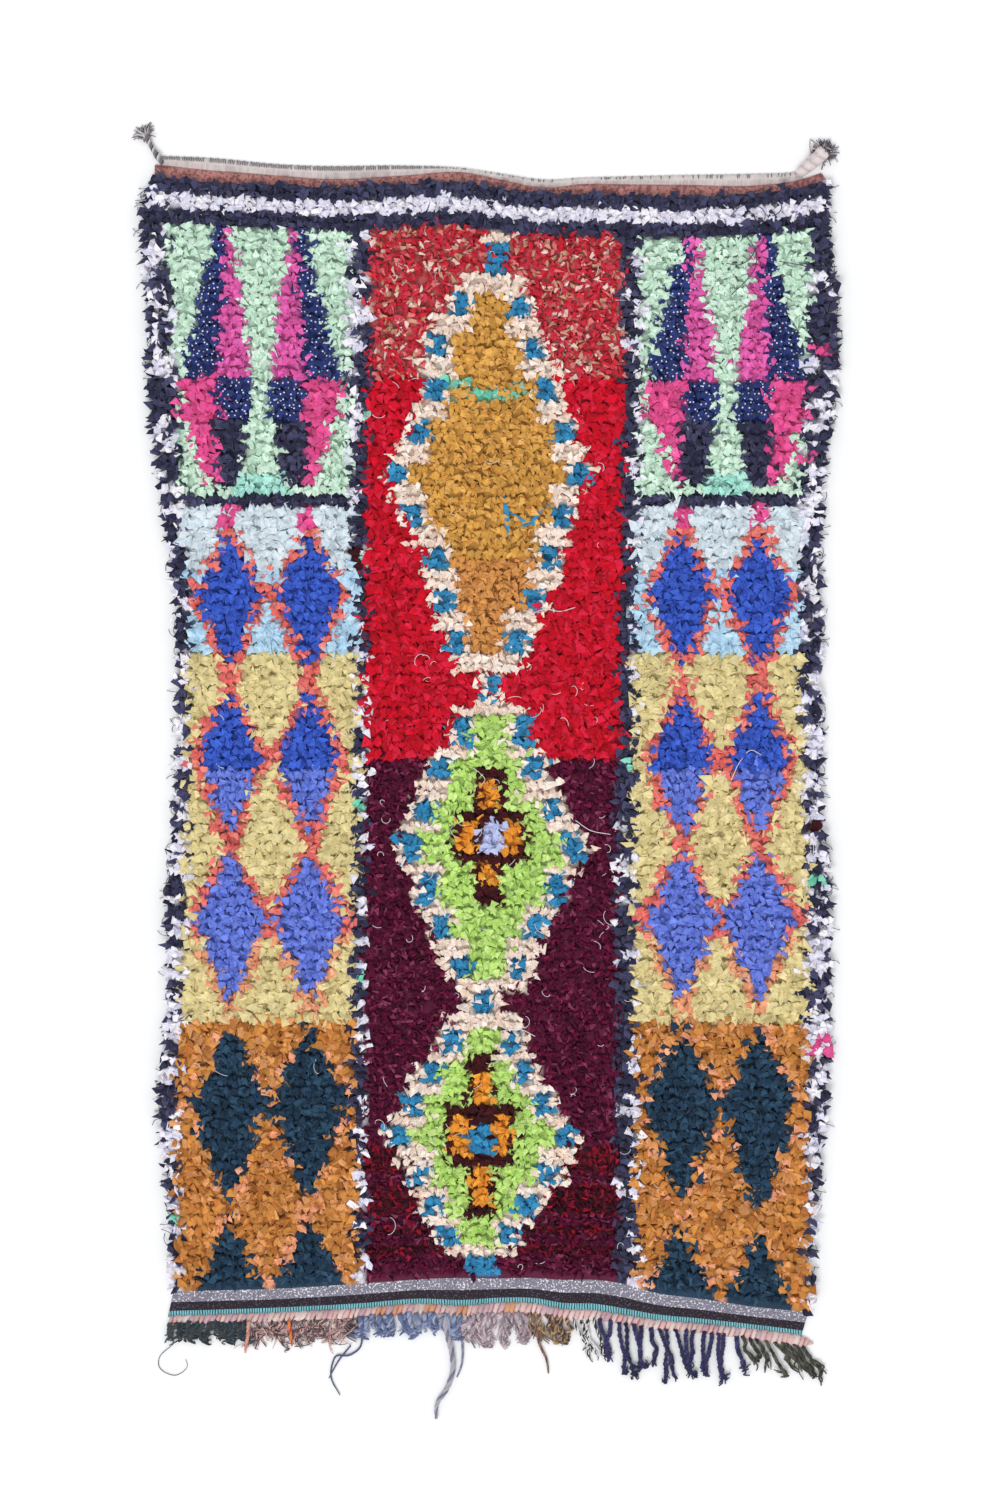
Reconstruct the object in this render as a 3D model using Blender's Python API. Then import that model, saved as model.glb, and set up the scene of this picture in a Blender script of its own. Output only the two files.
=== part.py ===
"""A boucherouite rug laid flat on a floor: a shaggy rag pile between thin flat-woven ends, a twined heading along the
top edge, a chained braid along the foot, warp fringe in groups of one colour each, and a warp tassel at each top corner.

Metres, +Z up. X runs across the rug and +Y towards its top end. The underside lies at z = 0, and the origin is on it,
in the middle of the pile.
"""

import math
import random
from collections import namedtuple

import bmesh
import bpy
import numpy as np
from mathutils import Vector

# Thicknesses
CLOTH_THICK = 0.0045
PILE_RIM = 0.014
PILE_SHOULDER = 0.021
PILE_HEIGHT = 0.026
PILE_LUMP = 0.0060
HEADING_THICK = 0.007
BRAID_THICK = 0.009
STRIP_THICK = 0.004

# Layout of the slab
PILE_ROWS = 78
PILE_COLUMNS = 25
SHOULDER_SHARE = 0.010
PILE_STEP = 0.004
EDGE_LUMPS = 0.3
SHOULDER_LUMPS = 0.6
GAP = 0.0004

# Rag locks on the two long rims
LOCK_SHARE = 0.74
LOCK_INSET = 0.003
LOCK_SHORT = 0.014
LOCK_LONG = 0.032
LOCK_TURN = 0.20
LOCK_WIDTH = 0.017
LOCK_BEND_SHARE = 0.55
LOCK_BEND_LOW = 0.0012
LOCK_BEND_HIGH = 0.0090
LOCK_TIP_HIGH = 0.0050
LOCK_TIP_WIDTHS = (0.45, 0.75)

# The heading and the braid: their rounded section, as shares across and up, and how their stitches swell
RIBBON_SECTION = ((0.0, 0.0), (1.0, 0.0), (1.0, 0.55), (0.78, 1.0), (0.22, 1.0), (0.0, 0.55))
HEADING_SWELL = 0.12
HEADING_SWELL_TURN = 2.1
BRAID_STITCHES_A_COLUMN = 4
BRAID_PINCH_HEIGHT = 0.74
BRAID_PINCH_WIDTH = 0.90
BRAID_TIP_WIDTH = 0.30
BRAID_TIP_HEIGHT = 0.4

# Fringe strips, and how far from each end of the pile its wave reaches, as a share of the pile's length
STRIP_DEPTH = 0.006
WAVE_REACH = 0.30

# Outer edges of the pile slab, from the top end to the foot
SideRow = namedtuple("SideRow", "y left right")
SIDES = (
    SideRow(y=1.13, left=-0.668, right=0.676),
    SideRow(y=1.08, left=-0.682, right=0.672),
    SideRow(y=0.86, left=-0.678, right=0.684),
    SideRow(y=0.70, left=-0.674, right=0.684),
    SideRow(y=0.60, left=-0.664, right=0.664),
    SideRow(y=0.42, left=-0.636, right=0.654),
    SideRow(y=0.22, left=-0.620, right=0.656),
    SideRow(y=-0.10, left=-0.624, right=0.656),
    SideRow(y=-0.30, left=-0.638, right=0.672),
    SideRow(y=-0.50, left=-0.638, right=0.672),
    SideRow(y=-0.70, left=-0.656, right=0.664),
    SideRow(y=-0.90, left=-0.636, right=0.644),
    SideRow(y=-1.12, left=-0.632, right=0.634),
)

# Edges of the top end, from left to right: the heading's free edge and its foot, and where the pile begins
TopRow = namedtuple("TopRow", "x heading_top heading_foot pile_top")
TOP_END = (
    TopRow(x=-0.672, heading_top=1.188, heading_foot=1.170, pile_top=1.146),
    TopRow(x=-0.556, heading_top=1.183, heading_foot=1.158, pile_top=1.134),
    TopRow(x=-0.414, heading_top=1.170, heading_foot=1.147, pile_top=1.129),
    TopRow(x=-0.338, heading_top=1.167, heading_foot=1.141, pile_top=1.124),
    TopRow(x=-0.180, heading_top=1.168, heading_foot=1.147, pile_top=1.130),
    TopRow(x=-0.054, heading_top=1.163, heading_foot=1.154, pile_top=1.134),
    TopRow(x=0.016, heading_top=1.153, heading_foot=1.141, pile_top=1.122),
    TopRow(x=0.114, heading_top=1.140, heading_foot=1.123, pile_top=1.108),
    TopRow(x=0.184, heading_top=1.144, heading_foot=1.131, pile_top=1.111),
    TopRow(x=0.258, heading_top=1.146, heading_foot=1.130, pile_top=1.108),
    TopRow(x=0.380, heading_top=1.149, heading_foot=1.129, pile_top=1.105),
    TopRow(x=0.532, heading_top=1.152, heading_foot=1.128, pile_top=1.113),
    TopRow(x=0.610, heading_top=1.156, heading_foot=1.137, pile_top=1.122),
    TopRow(x=0.664, heading_top=1.172, heading_foot=1.154, pile_top=1.136),
)

# Edges of the foot, from left to right: where the pile ends, the cloth's end, and the braid's outer edge
FootRow = namedtuple("FootRow", "x pile_foot cloth_foot braid_foot")
FOOT_END = (
    FootRow(x=-0.644, pile_foot=-1.082, cloth_foot=-1.134, braid_foot=-1.147),
    FootRow(x=-0.414, pile_foot=-1.076, cloth_foot=-1.126, braid_foot=-1.138),
    FootRow(x=-0.254, pile_foot=-1.066, cloth_foot=-1.118, braid_foot=-1.131),
    FootRow(x=-0.142, pile_foot=-1.058, cloth_foot=-1.109, braid_foot=-1.125),
    FootRow(x=-0.052, pile_foot=-1.055, cloth_foot=-1.113, braid_foot=-1.129),
    FootRow(x=0.018, pile_foot=-1.056, cloth_foot=-1.107, braid_foot=-1.124),
    FootRow(x=0.086, pile_foot=-1.055, cloth_foot=-1.108, braid_foot=-1.125),
    FootRow(x=0.148, pile_foot=-1.059, cloth_foot=-1.120, braid_foot=-1.135),
    FootRow(x=0.208, pile_foot=-1.059, cloth_foot=-1.122, braid_foot=-1.136),
    FootRow(x=0.258, pile_foot=-1.065, cloth_foot=-1.130, braid_foot=-1.143),
    FootRow(x=0.322, pile_foot=-1.083, cloth_foot=-1.140, braid_foot=-1.154),
    FootRow(x=0.430, pile_foot=-1.098, cloth_foot=-1.150, braid_foot=-1.163),
    FootRow(x=0.538, pile_foot=-1.114, cloth_foot=-1.161, braid_foot=-1.177),
    FootRow(x=0.650, pile_foot=-1.124, cloth_foot=-1.176, braid_foot=-1.196),
)
CLOTH_TOP_SPAN = (-0.670, 0.662)
CLOTH_FOOT_SPAN = (-0.644, 0.622)
HEADING_SPAN = (-0.660, 0.624)
BRAID_SPAN = (-0.640, 0.646)
BRAID_POINT = 0.030

# Warp fringe, one row for each colour of warp: where it hangs, its strands and how they lean
FringeRow = namedtuple("FringeRow", "name start end strands short long lean colour")
FRINGES = (
    FringeRow("fringe_teal", -0.642, -0.486, 13, 0.032, 0.052, 0.02, (0.02, 0.06, 0.08)),
    FringeRow("fringe_pink", -0.485, -0.264, 18, 0.044, 0.058, 0.04, (0.45, 0.29, 0.28)),
    FringeRow("fringe_slate", -0.263, -0.054, 15, 0.032, 0.056, 0.12, (0.16, 0.20, 0.34)),
    FringeRow("fringe_mauve", -0.053, 0.069, 9, 0.052, 0.072, 0.10, (0.34, 0.26, 0.30)),
    FringeRow("fringe_brown", 0.070, 0.157, 6, 0.036, 0.068, 0.14, (0.19, 0.13, 0.10)),
    FringeRow("fringe_marl", 0.158, 0.215, 4, 0.056, 0.080, 0.18, (0.16, 0.14, 0.16)),
    FringeRow("fringe_navy", 0.216, 0.497, 16, 0.076, 0.112, 0.03, (0.04, 0.04, 0.14)),
    FringeRow("fringe_olive", 0.498, 0.634, 8, 0.060, 0.092, 0.34, (0.08, 0.08, 0.05)),
)
STRAND_FILL = 0.58
STRAND_BEND = 0.92
STRAND_TIP = 0.45
STRAND_WANDER = 0.0012
STRAND_HEIGHT = 0.0036
STRAND_ROOT_RISE = 1.1
STRAND_DROP = 0.3
SWAY = 0.10
SWAY_PERIOD = 0.27

# Long warp hanks that hang on below the rest, each in place of its strip's nearest strand: the way each one runs
HankRow = namedtuple("HankRow", "fringe width steps")
HANK_TAPER = 0.6
HANKS = (
    HankRow("fringe_slate", 0.011, ((-0.092, -1.150), (-0.084, -1.180), (-0.076, -1.215), (-0.076, -1.242),
                                    (-0.084, -1.272), (-0.100, -1.296), (-0.107, -1.320), (-0.106, -1.336))),
    HankRow("fringe_slate", 0.006, ((-0.066, -1.150), (-0.055, -1.198), (-0.058, -1.234), (-0.064, -1.252))),
    HankRow("fringe_brown", 0.007, ((0.088, -1.152), (0.100, -1.190), (0.113, -1.219), (0.117, -1.246))),
    HankRow("fringe_pink", 0.006, ((-0.268, -1.160), (-0.266, -1.190), (-0.288, -1.202), (-0.302, -1.214),
                                   (-0.306, -1.240), (-0.300, -1.290))),
)

# Corner tassels: the head's outline runs from its seat to its free end, where the strands fan out
TasselRow = namedtuple("TasselRow", "name spine thick strands spread length colour")
HeadPoint = namedtuple("HeadPoint", "x y half")
TUFT_SHORTEST = 0.75
TUFT_BEND_WIDTH = 1.5
TUFT_BEND_HEIGHT = 0.8
TUFT_TIP_WIDTH = 0.8
TUFT_TIP_HEIGHT = 0.4
TASSELS = (
    TasselRow(
        name="corner_tassel_left",
        spine=(
            HeadPoint(x=-0.6604, y=1.180, half=0.0050),
            HeadPoint(x=-0.6720, y=1.195, half=0.0062),
            HeadPoint(x=-0.6800, y=1.211, half=0.0055),
            HeadPoint(x=-0.6870, y=1.226, half=0.0095),
        ),
        thick=0.008,
        strands=6,
        spread=1.15,
        length=0.028,
        colour=(0.33, 0.30, 0.31),
    ),
    TasselRow(
        name="corner_tassel_right",
        spine=(
            HeadPoint(x=0.6244, y=1.156, half=0.0080),
            HeadPoint(x=0.6360, y=1.169, half=0.0100),
            HeadPoint(x=0.6500, y=1.181, half=0.0150),
            HeadPoint(x=0.6620, y=1.192, half=0.0200),
        ),
        thick=0.014,
        strands=9,
        spread=1.70,
        length=0.030,
        colour=(0.52, 0.46, 0.44),
    ),
)

# Colours of the pieces that have no table row, and how matt the pile is
PILE_COLOUR = (0.50, 0.16, 0.14)
HEADING_COLOUR = (0.72, 0.63, 0.58)
BRAID_COLOUR = (0.70, 0.42, 0.38)
PILE_ROUGHNESS = 0.95

Ring = namedtuple("Ring", "x y turn width low high")


def column(rows, name):
    """All values of one named column of a table."""
    return np.array([getattr(row, name) for row in rows], float)


def smooth(rows, key, name, at):
    """Value at `at` of the smooth curve through a table's points, each with the slope of its neighbours' chord."""
    xs, ys = column(rows, key), column(rows, name)
    if xs[0] > xs[-1]:
        xs, ys = xs[::-1], ys[::-1]
    slopes = np.gradient(ys, xs)
    at = np.clip(np.asarray(at, float), xs[0], xs[-1])
    i = np.clip(np.searchsorted(xs, at) - 1, 0, len(xs) - 2)
    width = xs[i + 1] - xs[i]
    t = (at - xs[i]) / width
    start = (1 + 2 * t) * (1 - t) ** 2 * ys[i] + t * (1 - t) ** 2 * width * slopes[i]
    end = t * t * (3 - 2 * t) * ys[i + 1] + t * t * (t - 1) * width * slopes[i + 1]
    return start + end


def top_edge(name, x):
    """One edge of the top end at x."""
    return smooth(TOP_END, "x", name, x)


def foot_edge(name, x):
    """One edge of the foot at x."""
    return smooth(FOOT_END, "x", name, x)


def columns():
    """Shares of the width at which every row of the slab has a point, with a close pair at each rim."""
    inner = np.linspace(SHOULDER_SHARE, 1 - SHOULDER_SHARE, PILE_COLUMNS)
    return np.concatenate(([0.0], inner, [1.0]))


def cloth_stations(span):
    """X of the slab's points along one of its flat-woven ends. Pieces that meet that end have corners there too."""
    return span[0] + (span[1] - span[0]) * columns()


def finer(stations, parts):
    """The same stations with each stretch between two of them in equal parts."""
    places = np.arange((len(stations) - 1) * parts + 1) / parts
    return np.interp(places, np.arange(len(stations)), stations)


def within(stations, start, end):
    """The stations that lie inside a stretch, with the stretch's own two ends."""
    inside = stations[(stations > start + GAP) & (stations < end - GAP)]
    return np.concatenate(([start], inside, [end]))


def braid_stations():
    """X of the braid's points, a few to each of the slab's columns."""
    beyond = np.append(cloth_stations(CLOTH_FOOT_SPAN), FOOT_END[-1].x)
    return within(finer(beyond, BRAID_STITCHES_A_COLUMN), *BRAID_SPAN)


def pile_row(share, across):
    """Points of the pile at a share of its length, whose ends' waves die out within WAVE_REACH of each end."""
    top_level, foot_level = column(TOP_END, "pile_top").mean(), column(FOOT_END, "pile_foot").mean()
    level = top_level + (foot_level - top_level) * share
    x = across_pile(np.full_like(across, level), across)
    fade_top = max(0.0, 1 - share / WAVE_REACH) ** 2
    fade_foot = max(0.0, 1 - (1 - share) / WAVE_REACH) ** 2
    y = level + fade_top * (top_edge("pile_top", x) - top_level) + fade_foot * (foot_edge("pile_foot", x) - foot_level)
    return across_pile(y, across), y


def across_pile(y, across):
    """X of the points that lie a share `across` from the left rim to the right one."""
    left, right = smooth(SIDES, "y", "left", y), smooth(SIDES, "y", "right", y)
    return left + (right - left) * across


def material(name, colour, roughness):
    """A cloth finish of one colour."""
    made = bpy.data.materials.new(name)
    made.use_nodes = True
    shader = made.node_tree.nodes["Principled BSDF"]
    shader.inputs["Base Color"].default_value = (*colour, 1)
    shader.inputs["Roughness"].default_value = roughness
    shader.inputs["Metallic"].default_value = 0.0
    made.diffuse_color = (*colour, 1)
    return made


def add_object(name, bm, colour, roughness=0.9):
    """Turns a finished bmesh into a named object with its own finish."""
    many_sided = [f for f in bm.faces if len(f.verts) > 4]
    bmesh.ops.triangulate(bm, faces=many_sided, ngon_method="BEAUTY")
    bmesh.ops.recalc_face_normals(bm, faces=bm.faces)
    mesh = bpy.data.meshes.new(name)
    bm.to_mesh(mesh)
    bm.free()
    mesh.materials.append(material(name, colour, roughness))
    bpy.context.collection.objects.link(bpy.data.objects.new(name, mesh))


def grow(bm, face, rings):
    """Extrudes a four-sided face through rings that face along their own turn, and leaves the last as its tip."""
    for ring in rings:
        face = bmesh.ops.extrude_discrete_faces(bm, faces=[face])["faces"][0]
        centre = face.calc_center_median()
        across = Vector((math.sin(ring.turn), -math.cos(ring.turn), 0))
        for v in face.verts:
            side = math.copysign(0.5, (v.co - centre).dot(across))
            height = ring.high if v.co.z > centre.z else ring.low
            v.co = Vector((ring.x, ring.y, height)) + across * side * ring.width


def prism(outline, height):
    """A flat-bottomed plate on a closed outline, and its side faces in the outline's order."""
    bm = bmesh.new()
    low = [bm.verts.new((x, y, 0)) for x, y in outline]
    high = [bm.verts.new((x, y, height)) for x, y in outline]
    bm.faces.new(low[::-1])
    bm.faces.new(high)
    count = len(outline)
    sides = [bm.faces.new((low[i], low[(i + 1) % count], high[(i + 1) % count], high[i])) for i in range(count)]
    return bm, sides


def slab_rows(across):
    """The slab's rows of points from the top end to the foot, each with its kind: cloth, edge, shoulder or pile."""
    rows = []
    x = CLOTH_TOP_SPAN[0] + (CLOTH_TOP_SPAN[1] - CLOTH_TOP_SPAN[0]) * across
    rows.append(("cloth", x, top_edge("heading_foot", x) - GAP))
    rows.append(("cloth", x, top_edge("pile_top", x) + PILE_STEP))
    for i in range(PILE_ROWS + 1):
        kind = "edge" if i in (0, PILE_ROWS) else "shoulder" if i in (1, PILE_ROWS - 1) else "pile"
        rows.append((kind, *pile_row(i / PILE_ROWS, across)))
    x = CLOTH_FOOT_SPAN[0] + (CLOTH_FOOT_SPAN[1] - CLOTH_FOOT_SPAN[0]) * across
    rows.append(("cloth", x, foot_edge("pile_foot", x) - PILE_STEP))
    rows.append(("cloth", x, foot_edge("cloth_foot", x) + GAP))
    return rows


def slab_height(kind, place, last, rng):
    """Height of one point of the slab, lower at the rims and lumpy between them."""
    if kind == "cloth":
        return CLOTH_THICK
    if kind == "edge" or place in (0, last):
        return PILE_RIM + rng.uniform(-EDGE_LUMPS, EDGE_LUMPS) * PILE_LUMP
    if kind == "shoulder" or place in (1, last - 1):
        return PILE_SHOULDER + rng.uniform(-SHOULDER_LUMPS, SHOULDER_LUMPS) * PILE_LUMP
    return PILE_HEIGHT + rng.uniform(-1.0, 1.0) * PILE_LUMP


def add_rug():
    """The cloth with its pile: a lumpy slab with rag locks at its long rims, and thin flat-woven ends."""
    rng = random.Random(11)
    across = columns()
    rows, last = slab_rows(across), len(across) - 1
    bm = bmesh.new()
    top = [
        [bm.verts.new((x, y, slab_height(kind, i, last, rng))) for i, (x, y) in enumerate(zip(xs, ys))]
        for kind, xs, ys in rows
    ]
    for upper, lower in zip(top, top[1:]):
        for i in range(last):
            bm.faces.new((lower[i], lower[i + 1], upper[i + 1], upper[i]))
    # The rim, counter-clockwise from above: down the left side, along the foot, up the right side and back
    rim = [row[0] for row in top] + top[-1][1:] + [row[-1] for row in top[-2::-1]] + top[0][-2:0:-1]
    under = [bm.verts.new((v.co.x, v.co.y, 0)) for v in rim]
    count = len(rim)
    sides = [bm.faces.new((under[i], under[(i + 1) % count], rim[(i + 1) % count], rim[i])) for i in range(count)]
    bm.faces.new(under[::-1])
    # The side faces of the pile's rows on the left, then those on the right, whose rim runs the other way
    first, per_side = 2, PILE_ROWS
    right_first = len(top) - 1 + last + 2
    left = [(sides[first + i], math.pi) for i in range(per_side)]
    right = [(sides[right_first + i], 0.0) for i in range(per_side)]
    add_locks(bm, left + right, rng)
    add_object("rug", bm, PILE_COLOUR, PILE_ROUGHNESS)


def add_locks(bm, faces, rng):
    """Rag locks that jut out from most of the given side faces and droop to the floor."""
    for face, outward in faces:
        if rng.random() > LOCK_SHARE:
            continue
        length = rng.uniform(LOCK_SHORT, LOCK_LONG)
        turn = outward + rng.uniform(-LOCK_TURN, LOCK_TURN)
        bmesh.ops.inset_individual(bm, faces=[face], thickness=LOCK_INSET, use_even_offset=True)
        centre = face.calc_center_median()
        along = Vector((math.cos(turn), math.sin(turn), 0))
        bend, tip = centre + along * length * LOCK_BEND_SHARE, centre + along * length
        grow(bm, face, (
            Ring(bend.x, bend.y, turn, LOCK_WIDTH, LOCK_BEND_LOW, LOCK_BEND_HIGH),
            Ring(tip.x, tip.y, turn, LOCK_WIDTH * rng.uniform(*LOCK_TIP_WIDTHS), 0.0, LOCK_TIP_HIGH),
        ))


def ribbon(name, stations, near, far, thick, colour):
    """A rounded band between two edges, given at each station as (x, y), whose thickness may vary along it."""
    bm = bmesh.new()
    loops = [
        [bm.verts.new((x, n + (f - n) * across, t * up)) for across, up in RIBBON_SECTION]
        for x, n, f, t in zip(stations, near, far, thick)
    ]
    size = len(RIBBON_SECTION)
    for a, b in zip(loops, loops[1:]):
        for i in range(size):
            bm.faces.new((a[i], a[(i + 1) % size], b[(i + 1) % size], b[i]))
    bm.faces.new(loops[0])
    bm.faces.new(loops[-1][::-1])
    add_object(name, bm, colour)


def add_heading():
    """The cream twined heading that lies along the cloth's top edge."""
    cloth = cloth_stations(CLOTH_TOP_SPAN)
    x = within(cloth, *HEADING_SPAN)
    near = np.interp(x, cloth, top_edge("heading_foot", cloth))
    far = top_edge("heading_top", x)
    thick = HEADING_THICK * (1 + HEADING_SWELL * np.sin(np.arange(len(x)) * HEADING_SWELL_TURN))
    ribbon("top_heading", x, near, far, thick, HEADING_COLOUR)


def add_braid():
    """The chained braid along the foot, with a lump for each second stitch or so, run out to a point at the right."""
    x = braid_stations()
    cloth = np.append(cloth_stations(CLOTH_FOOT_SPAN), FOOT_END[-1].x)
    near, far = np.interp(x, cloth, foot_edge("cloth_foot", cloth)), foot_edge("braid_foot", x)
    odd = np.arange(len(x)) % 2 == 1
    lump, pinch = np.where(odd, 1.0, BRAID_PINCH_HEIGHT), np.where(odd, 1.0, BRAID_PINCH_WIDTH)
    point = np.clip((BRAID_SPAN[1] - x) / BRAID_POINT, BRAID_TIP_WIDTH, 1.0)
    middle = (near + far) / 2
    near, far = middle + (near - middle) * point, middle + (far - middle) * point * pinch
    thick = BRAID_THICK * lump * (BRAID_TIP_HEIGHT + (1 - BRAID_TIP_HEIGHT) * point)
    ribbon("end_braid", x, near, far, thick, BRAID_COLOUR)


def lean_at(row, x):
    """How far sideways a strand of a fringe runs for each metre of its length, a slow sway along the rug."""
    return row.lean + SWAY * math.sin(2 * math.pi * x / SWAY_PERIOD)


def strand_rings(row, x, root_y, width, rng):
    """A short strand: the rings of its middle and tip, level on the floor."""
    length = rng.uniform(row.short, row.long)
    lean = lean_at(row, x)
    turn = math.atan2(-1, lean)
    rings = []
    for share, size in ((0.5, STRAND_BEND), (1.0, STRAND_TIP)):
        aside = lean * length * share + rng.uniform(-STRAND_WANDER, STRAND_WANDER)
        height = STRAND_HEIGHT * (STRAND_ROOT_RISE - STRAND_DROP * share)
        rings.append(Ring(x + aside, root_y - length * share, turn, width * size, 0.0, height))
    return rings


def hank_rings(hank):
    """A long hank: a ring at each step of its way, facing along its neighbours' chord, thinner towards its end."""
    steps, rings = hank.steps, []
    for i in range(1, len(steps)):
        a, b = steps[i - 1], steps[min(i + 1, len(steps) - 1)]
        turn = math.atan2(b[1] - a[1], b[0] - a[0])
        size = 1 - HANK_TAPER * (i / (len(steps) - 1)) ** 2
        rings.append(Ring(*steps[i], turn, hank.width * size, 0.0, STRAND_HEIGHT))
    return rings


def add_fringe(row):
    """One colour of warp ends: a narrow strip along the braid, with its strands standing apart below it."""
    rng = random.Random(row.name)
    pitch = (row.end - row.start) / row.strands
    roots = [row.start + pitch * (i + 0.5) for i in range(row.strands)]
    hanks = {}
    for hank in HANKS:
        if hank.fringe == row.name:
            hanks[min(range(row.strands), key=lambda i: abs(roots[i] - hank.steps[0][0]))] = hank
    half = pitch * STRAND_FILL / 2
    braid = braid_stations()
    along = within(braid, row.start, row.end)
    corners = [row.start] + [root + side for root in roots for side in (-half, half)] + [row.end]
    seam_y, free_y = (np.interp(x, braid, foot_edge("braid_foot", braid)) - GAP for x in (along, corners))
    seam, free = list(zip(along, seam_y)), list(zip(corners, free_y - STRIP_DEPTH))
    bm, sides = prism(free + seam[::-1], STRIP_THICK)
    for i, root in enumerate(roots):
        face = sides[1 + 2 * i]
        if i in hanks:
            rings = hank_rings(hanks[i])
        else:
            rings = strand_rings(row, root, face.calc_center_median().y, 2 * half, rng)
        grow(bm, face, rings)
    add_object(row.name, bm, row.colour)


def add_tassel(row):
    """A corner tassel: a flat-bottomed head that widens along its spine, with strands fanned out from its free end."""
    rng = random.Random(row.name)
    spine = row.spine
    turns = [math.atan2(b.y - a.y, b.x - a.x) for a, b in zip(spine, spine[1:])]
    left, right = [], []
    for i, p in enumerate(spine):
        turn = turns[min(i, len(turns) - 1)]
        across = (0.0, -math.copysign(1, math.cos(turn))) if i == 0 else (math.sin(turn), -math.cos(turn))
        right.append((p.x + across[0] * p.half, p.y + across[1] * p.half))
        left.append((p.x - across[0] * p.half, p.y - across[1] * p.half))
    # The free end is an arc about the last spine point, with a gap between each two roots
    centre, turn = spine[-1], turns[-1]
    count = 2 * row.strands + 1
    arc = []
    for i in range(1, count):
        angle = turn - row.spread / 2 + row.spread * i / count
        arc.append((centre.x + math.cos(angle) * centre.half, centre.y + math.sin(angle) * centre.half))
    bm, sides = prism(right + arc + left[::-1], row.thick)
    for i in range(row.strands):
        face = sides[len(right) + 2 * i]
        root = face.calc_center_median()
        angle = math.atan2(root.y - centre.y, root.x - centre.x)
        width = face.edges[0].calc_length()
        length = row.length * rng.uniform(TUFT_SHORTEST, 1.0)
        along = Vector((math.cos(angle), math.sin(angle), 0)) * length
        bend, tip = root + along * 0.5, root + along
        grow(bm, face, (
            Ring(bend.x, bend.y, angle, width * TUFT_BEND_WIDTH, 0.0, row.thick * TUFT_BEND_HEIGHT),
            Ring(tip.x, tip.y, angle, width * TUFT_TIP_WIDTH, 0.0, row.thick * TUFT_TIP_HEIGHT),
        ))
    add_object(row.name, bm, row.colour)


def main():
    """Clears the scene and adds every piece of the rug."""
    for old in list(bpy.data.objects):
        bpy.data.objects.remove(old)
    add_rug()
    add_heading()
    add_braid()
    for row in FRINGES:
        add_fringe(row)
    for row in TASSELS:
        add_tassel(row)


main()
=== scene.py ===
"""Looks of a boucherouite rug: a shaggy pile of torn rags knotted in rows on a cloth.

The cloth has flat-woven ends, a twined heading, a chained braid, warp fringe and two corner tassels.

Metres, +Z up. X runs across the rug and +Y towards its top end. The underside lies at z = 0, and the
origin is on it, in the middle of the pile.
"""

import logging
import math
from dataclasses import dataclass
from enum import Enum, IntEnum
from typing import NamedTuple

import bpy
import numpy as np
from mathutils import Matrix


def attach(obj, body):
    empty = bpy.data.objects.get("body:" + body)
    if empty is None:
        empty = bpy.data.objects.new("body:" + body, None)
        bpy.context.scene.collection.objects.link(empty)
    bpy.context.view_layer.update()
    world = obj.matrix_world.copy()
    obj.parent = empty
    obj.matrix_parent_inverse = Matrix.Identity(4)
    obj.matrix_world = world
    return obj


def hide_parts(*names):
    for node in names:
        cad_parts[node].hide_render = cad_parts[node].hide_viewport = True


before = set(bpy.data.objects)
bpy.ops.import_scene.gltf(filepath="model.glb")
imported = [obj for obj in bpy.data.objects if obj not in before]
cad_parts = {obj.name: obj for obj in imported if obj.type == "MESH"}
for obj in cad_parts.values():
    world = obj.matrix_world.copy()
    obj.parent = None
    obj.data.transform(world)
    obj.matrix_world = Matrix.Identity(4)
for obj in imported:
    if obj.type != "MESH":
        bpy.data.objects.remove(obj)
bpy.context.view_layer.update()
BODY = "root"
LOG = logging.getLogger("rug")

Array = np.ndarray
Colour = tuple[int, int, int]


class Rag(IntEnum):
    """The rags and yarns of the pile, each knotted from its own heap."""

    NAVY = 0
    WHITE = 1
    MINT = 2
    DOTTED = 3
    MAGENTA = 4
    HOT_PINK = 5
    RED = 6
    RED_CHIPS = 7
    MAROON = 8
    CREAM = 9
    TEAL = 10
    OCHRE = 11
    TAN = 12
    LIME = 13
    AQUA = 14
    GREY_BLUE = 15
    SKY = 16
    OLIVE = 17
    ORANGE = 18
    PEACH = 19
    CORAL = 20
    ROYAL = 21
    PERIWINKLE = 22
    DARK_TEAL = 23
    AMBER = 24
    LILAC = 25
    BROWN = 26
    DARK_RED = 27
    SEAFOAM = 28


class SideRow(NamedTuple):
    """Left and right edges of the pile at one place along the rug."""

    y: float
    left: float
    right: float


class TopRow(NamedTuple):
    """Edges of the top end: the heading's free edge and foot, and where the pile begins."""

    x: float
    heading_top: float
    heading_foot: float
    pile_top: float


class FootRow(NamedTuple):
    """Edges of the foot: where the pile ends, the cloth's end, and the braid's outer edge."""

    x: float
    pile_foot: float
    cloth_foot: float
    braid_foot: float


def column(rows: tuple, name: str) -> Array:
    """All values of one named column of a table, as an array."""
    return np.array([getattr(row, name) for row in rows], float)


def cubic(xs: Array, ys: Array, at: Array) -> Array:
    """Value at `at` of the smooth curve through points.

    A cubic runs between each two points, with the slope of its neighbours' chord at each.

    Args:
        xs: the points' rising places.
        ys: their values.
        at: places to read.

    Returns:
        The curve's values at those places.
    """
    slopes = np.gradient(ys, xs)
    at = np.clip(np.asarray(at, float), xs[0], xs[-1])
    i = np.clip(np.searchsorted(xs, at) - 1, 0, len(xs) - 2)
    width = xs[i + 1] - xs[i]
    t = (at - xs[i]) / width
    start = (1 + 2 * t) * (1 - t) ** 2 * ys[i] + t * (1 - t) ** 2 * width * slopes[i]
    end = t * t * (3 - 2 * t) * ys[i + 1] + t * t * (t - 1) * width * slopes[i + 1]
    return start + end


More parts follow.
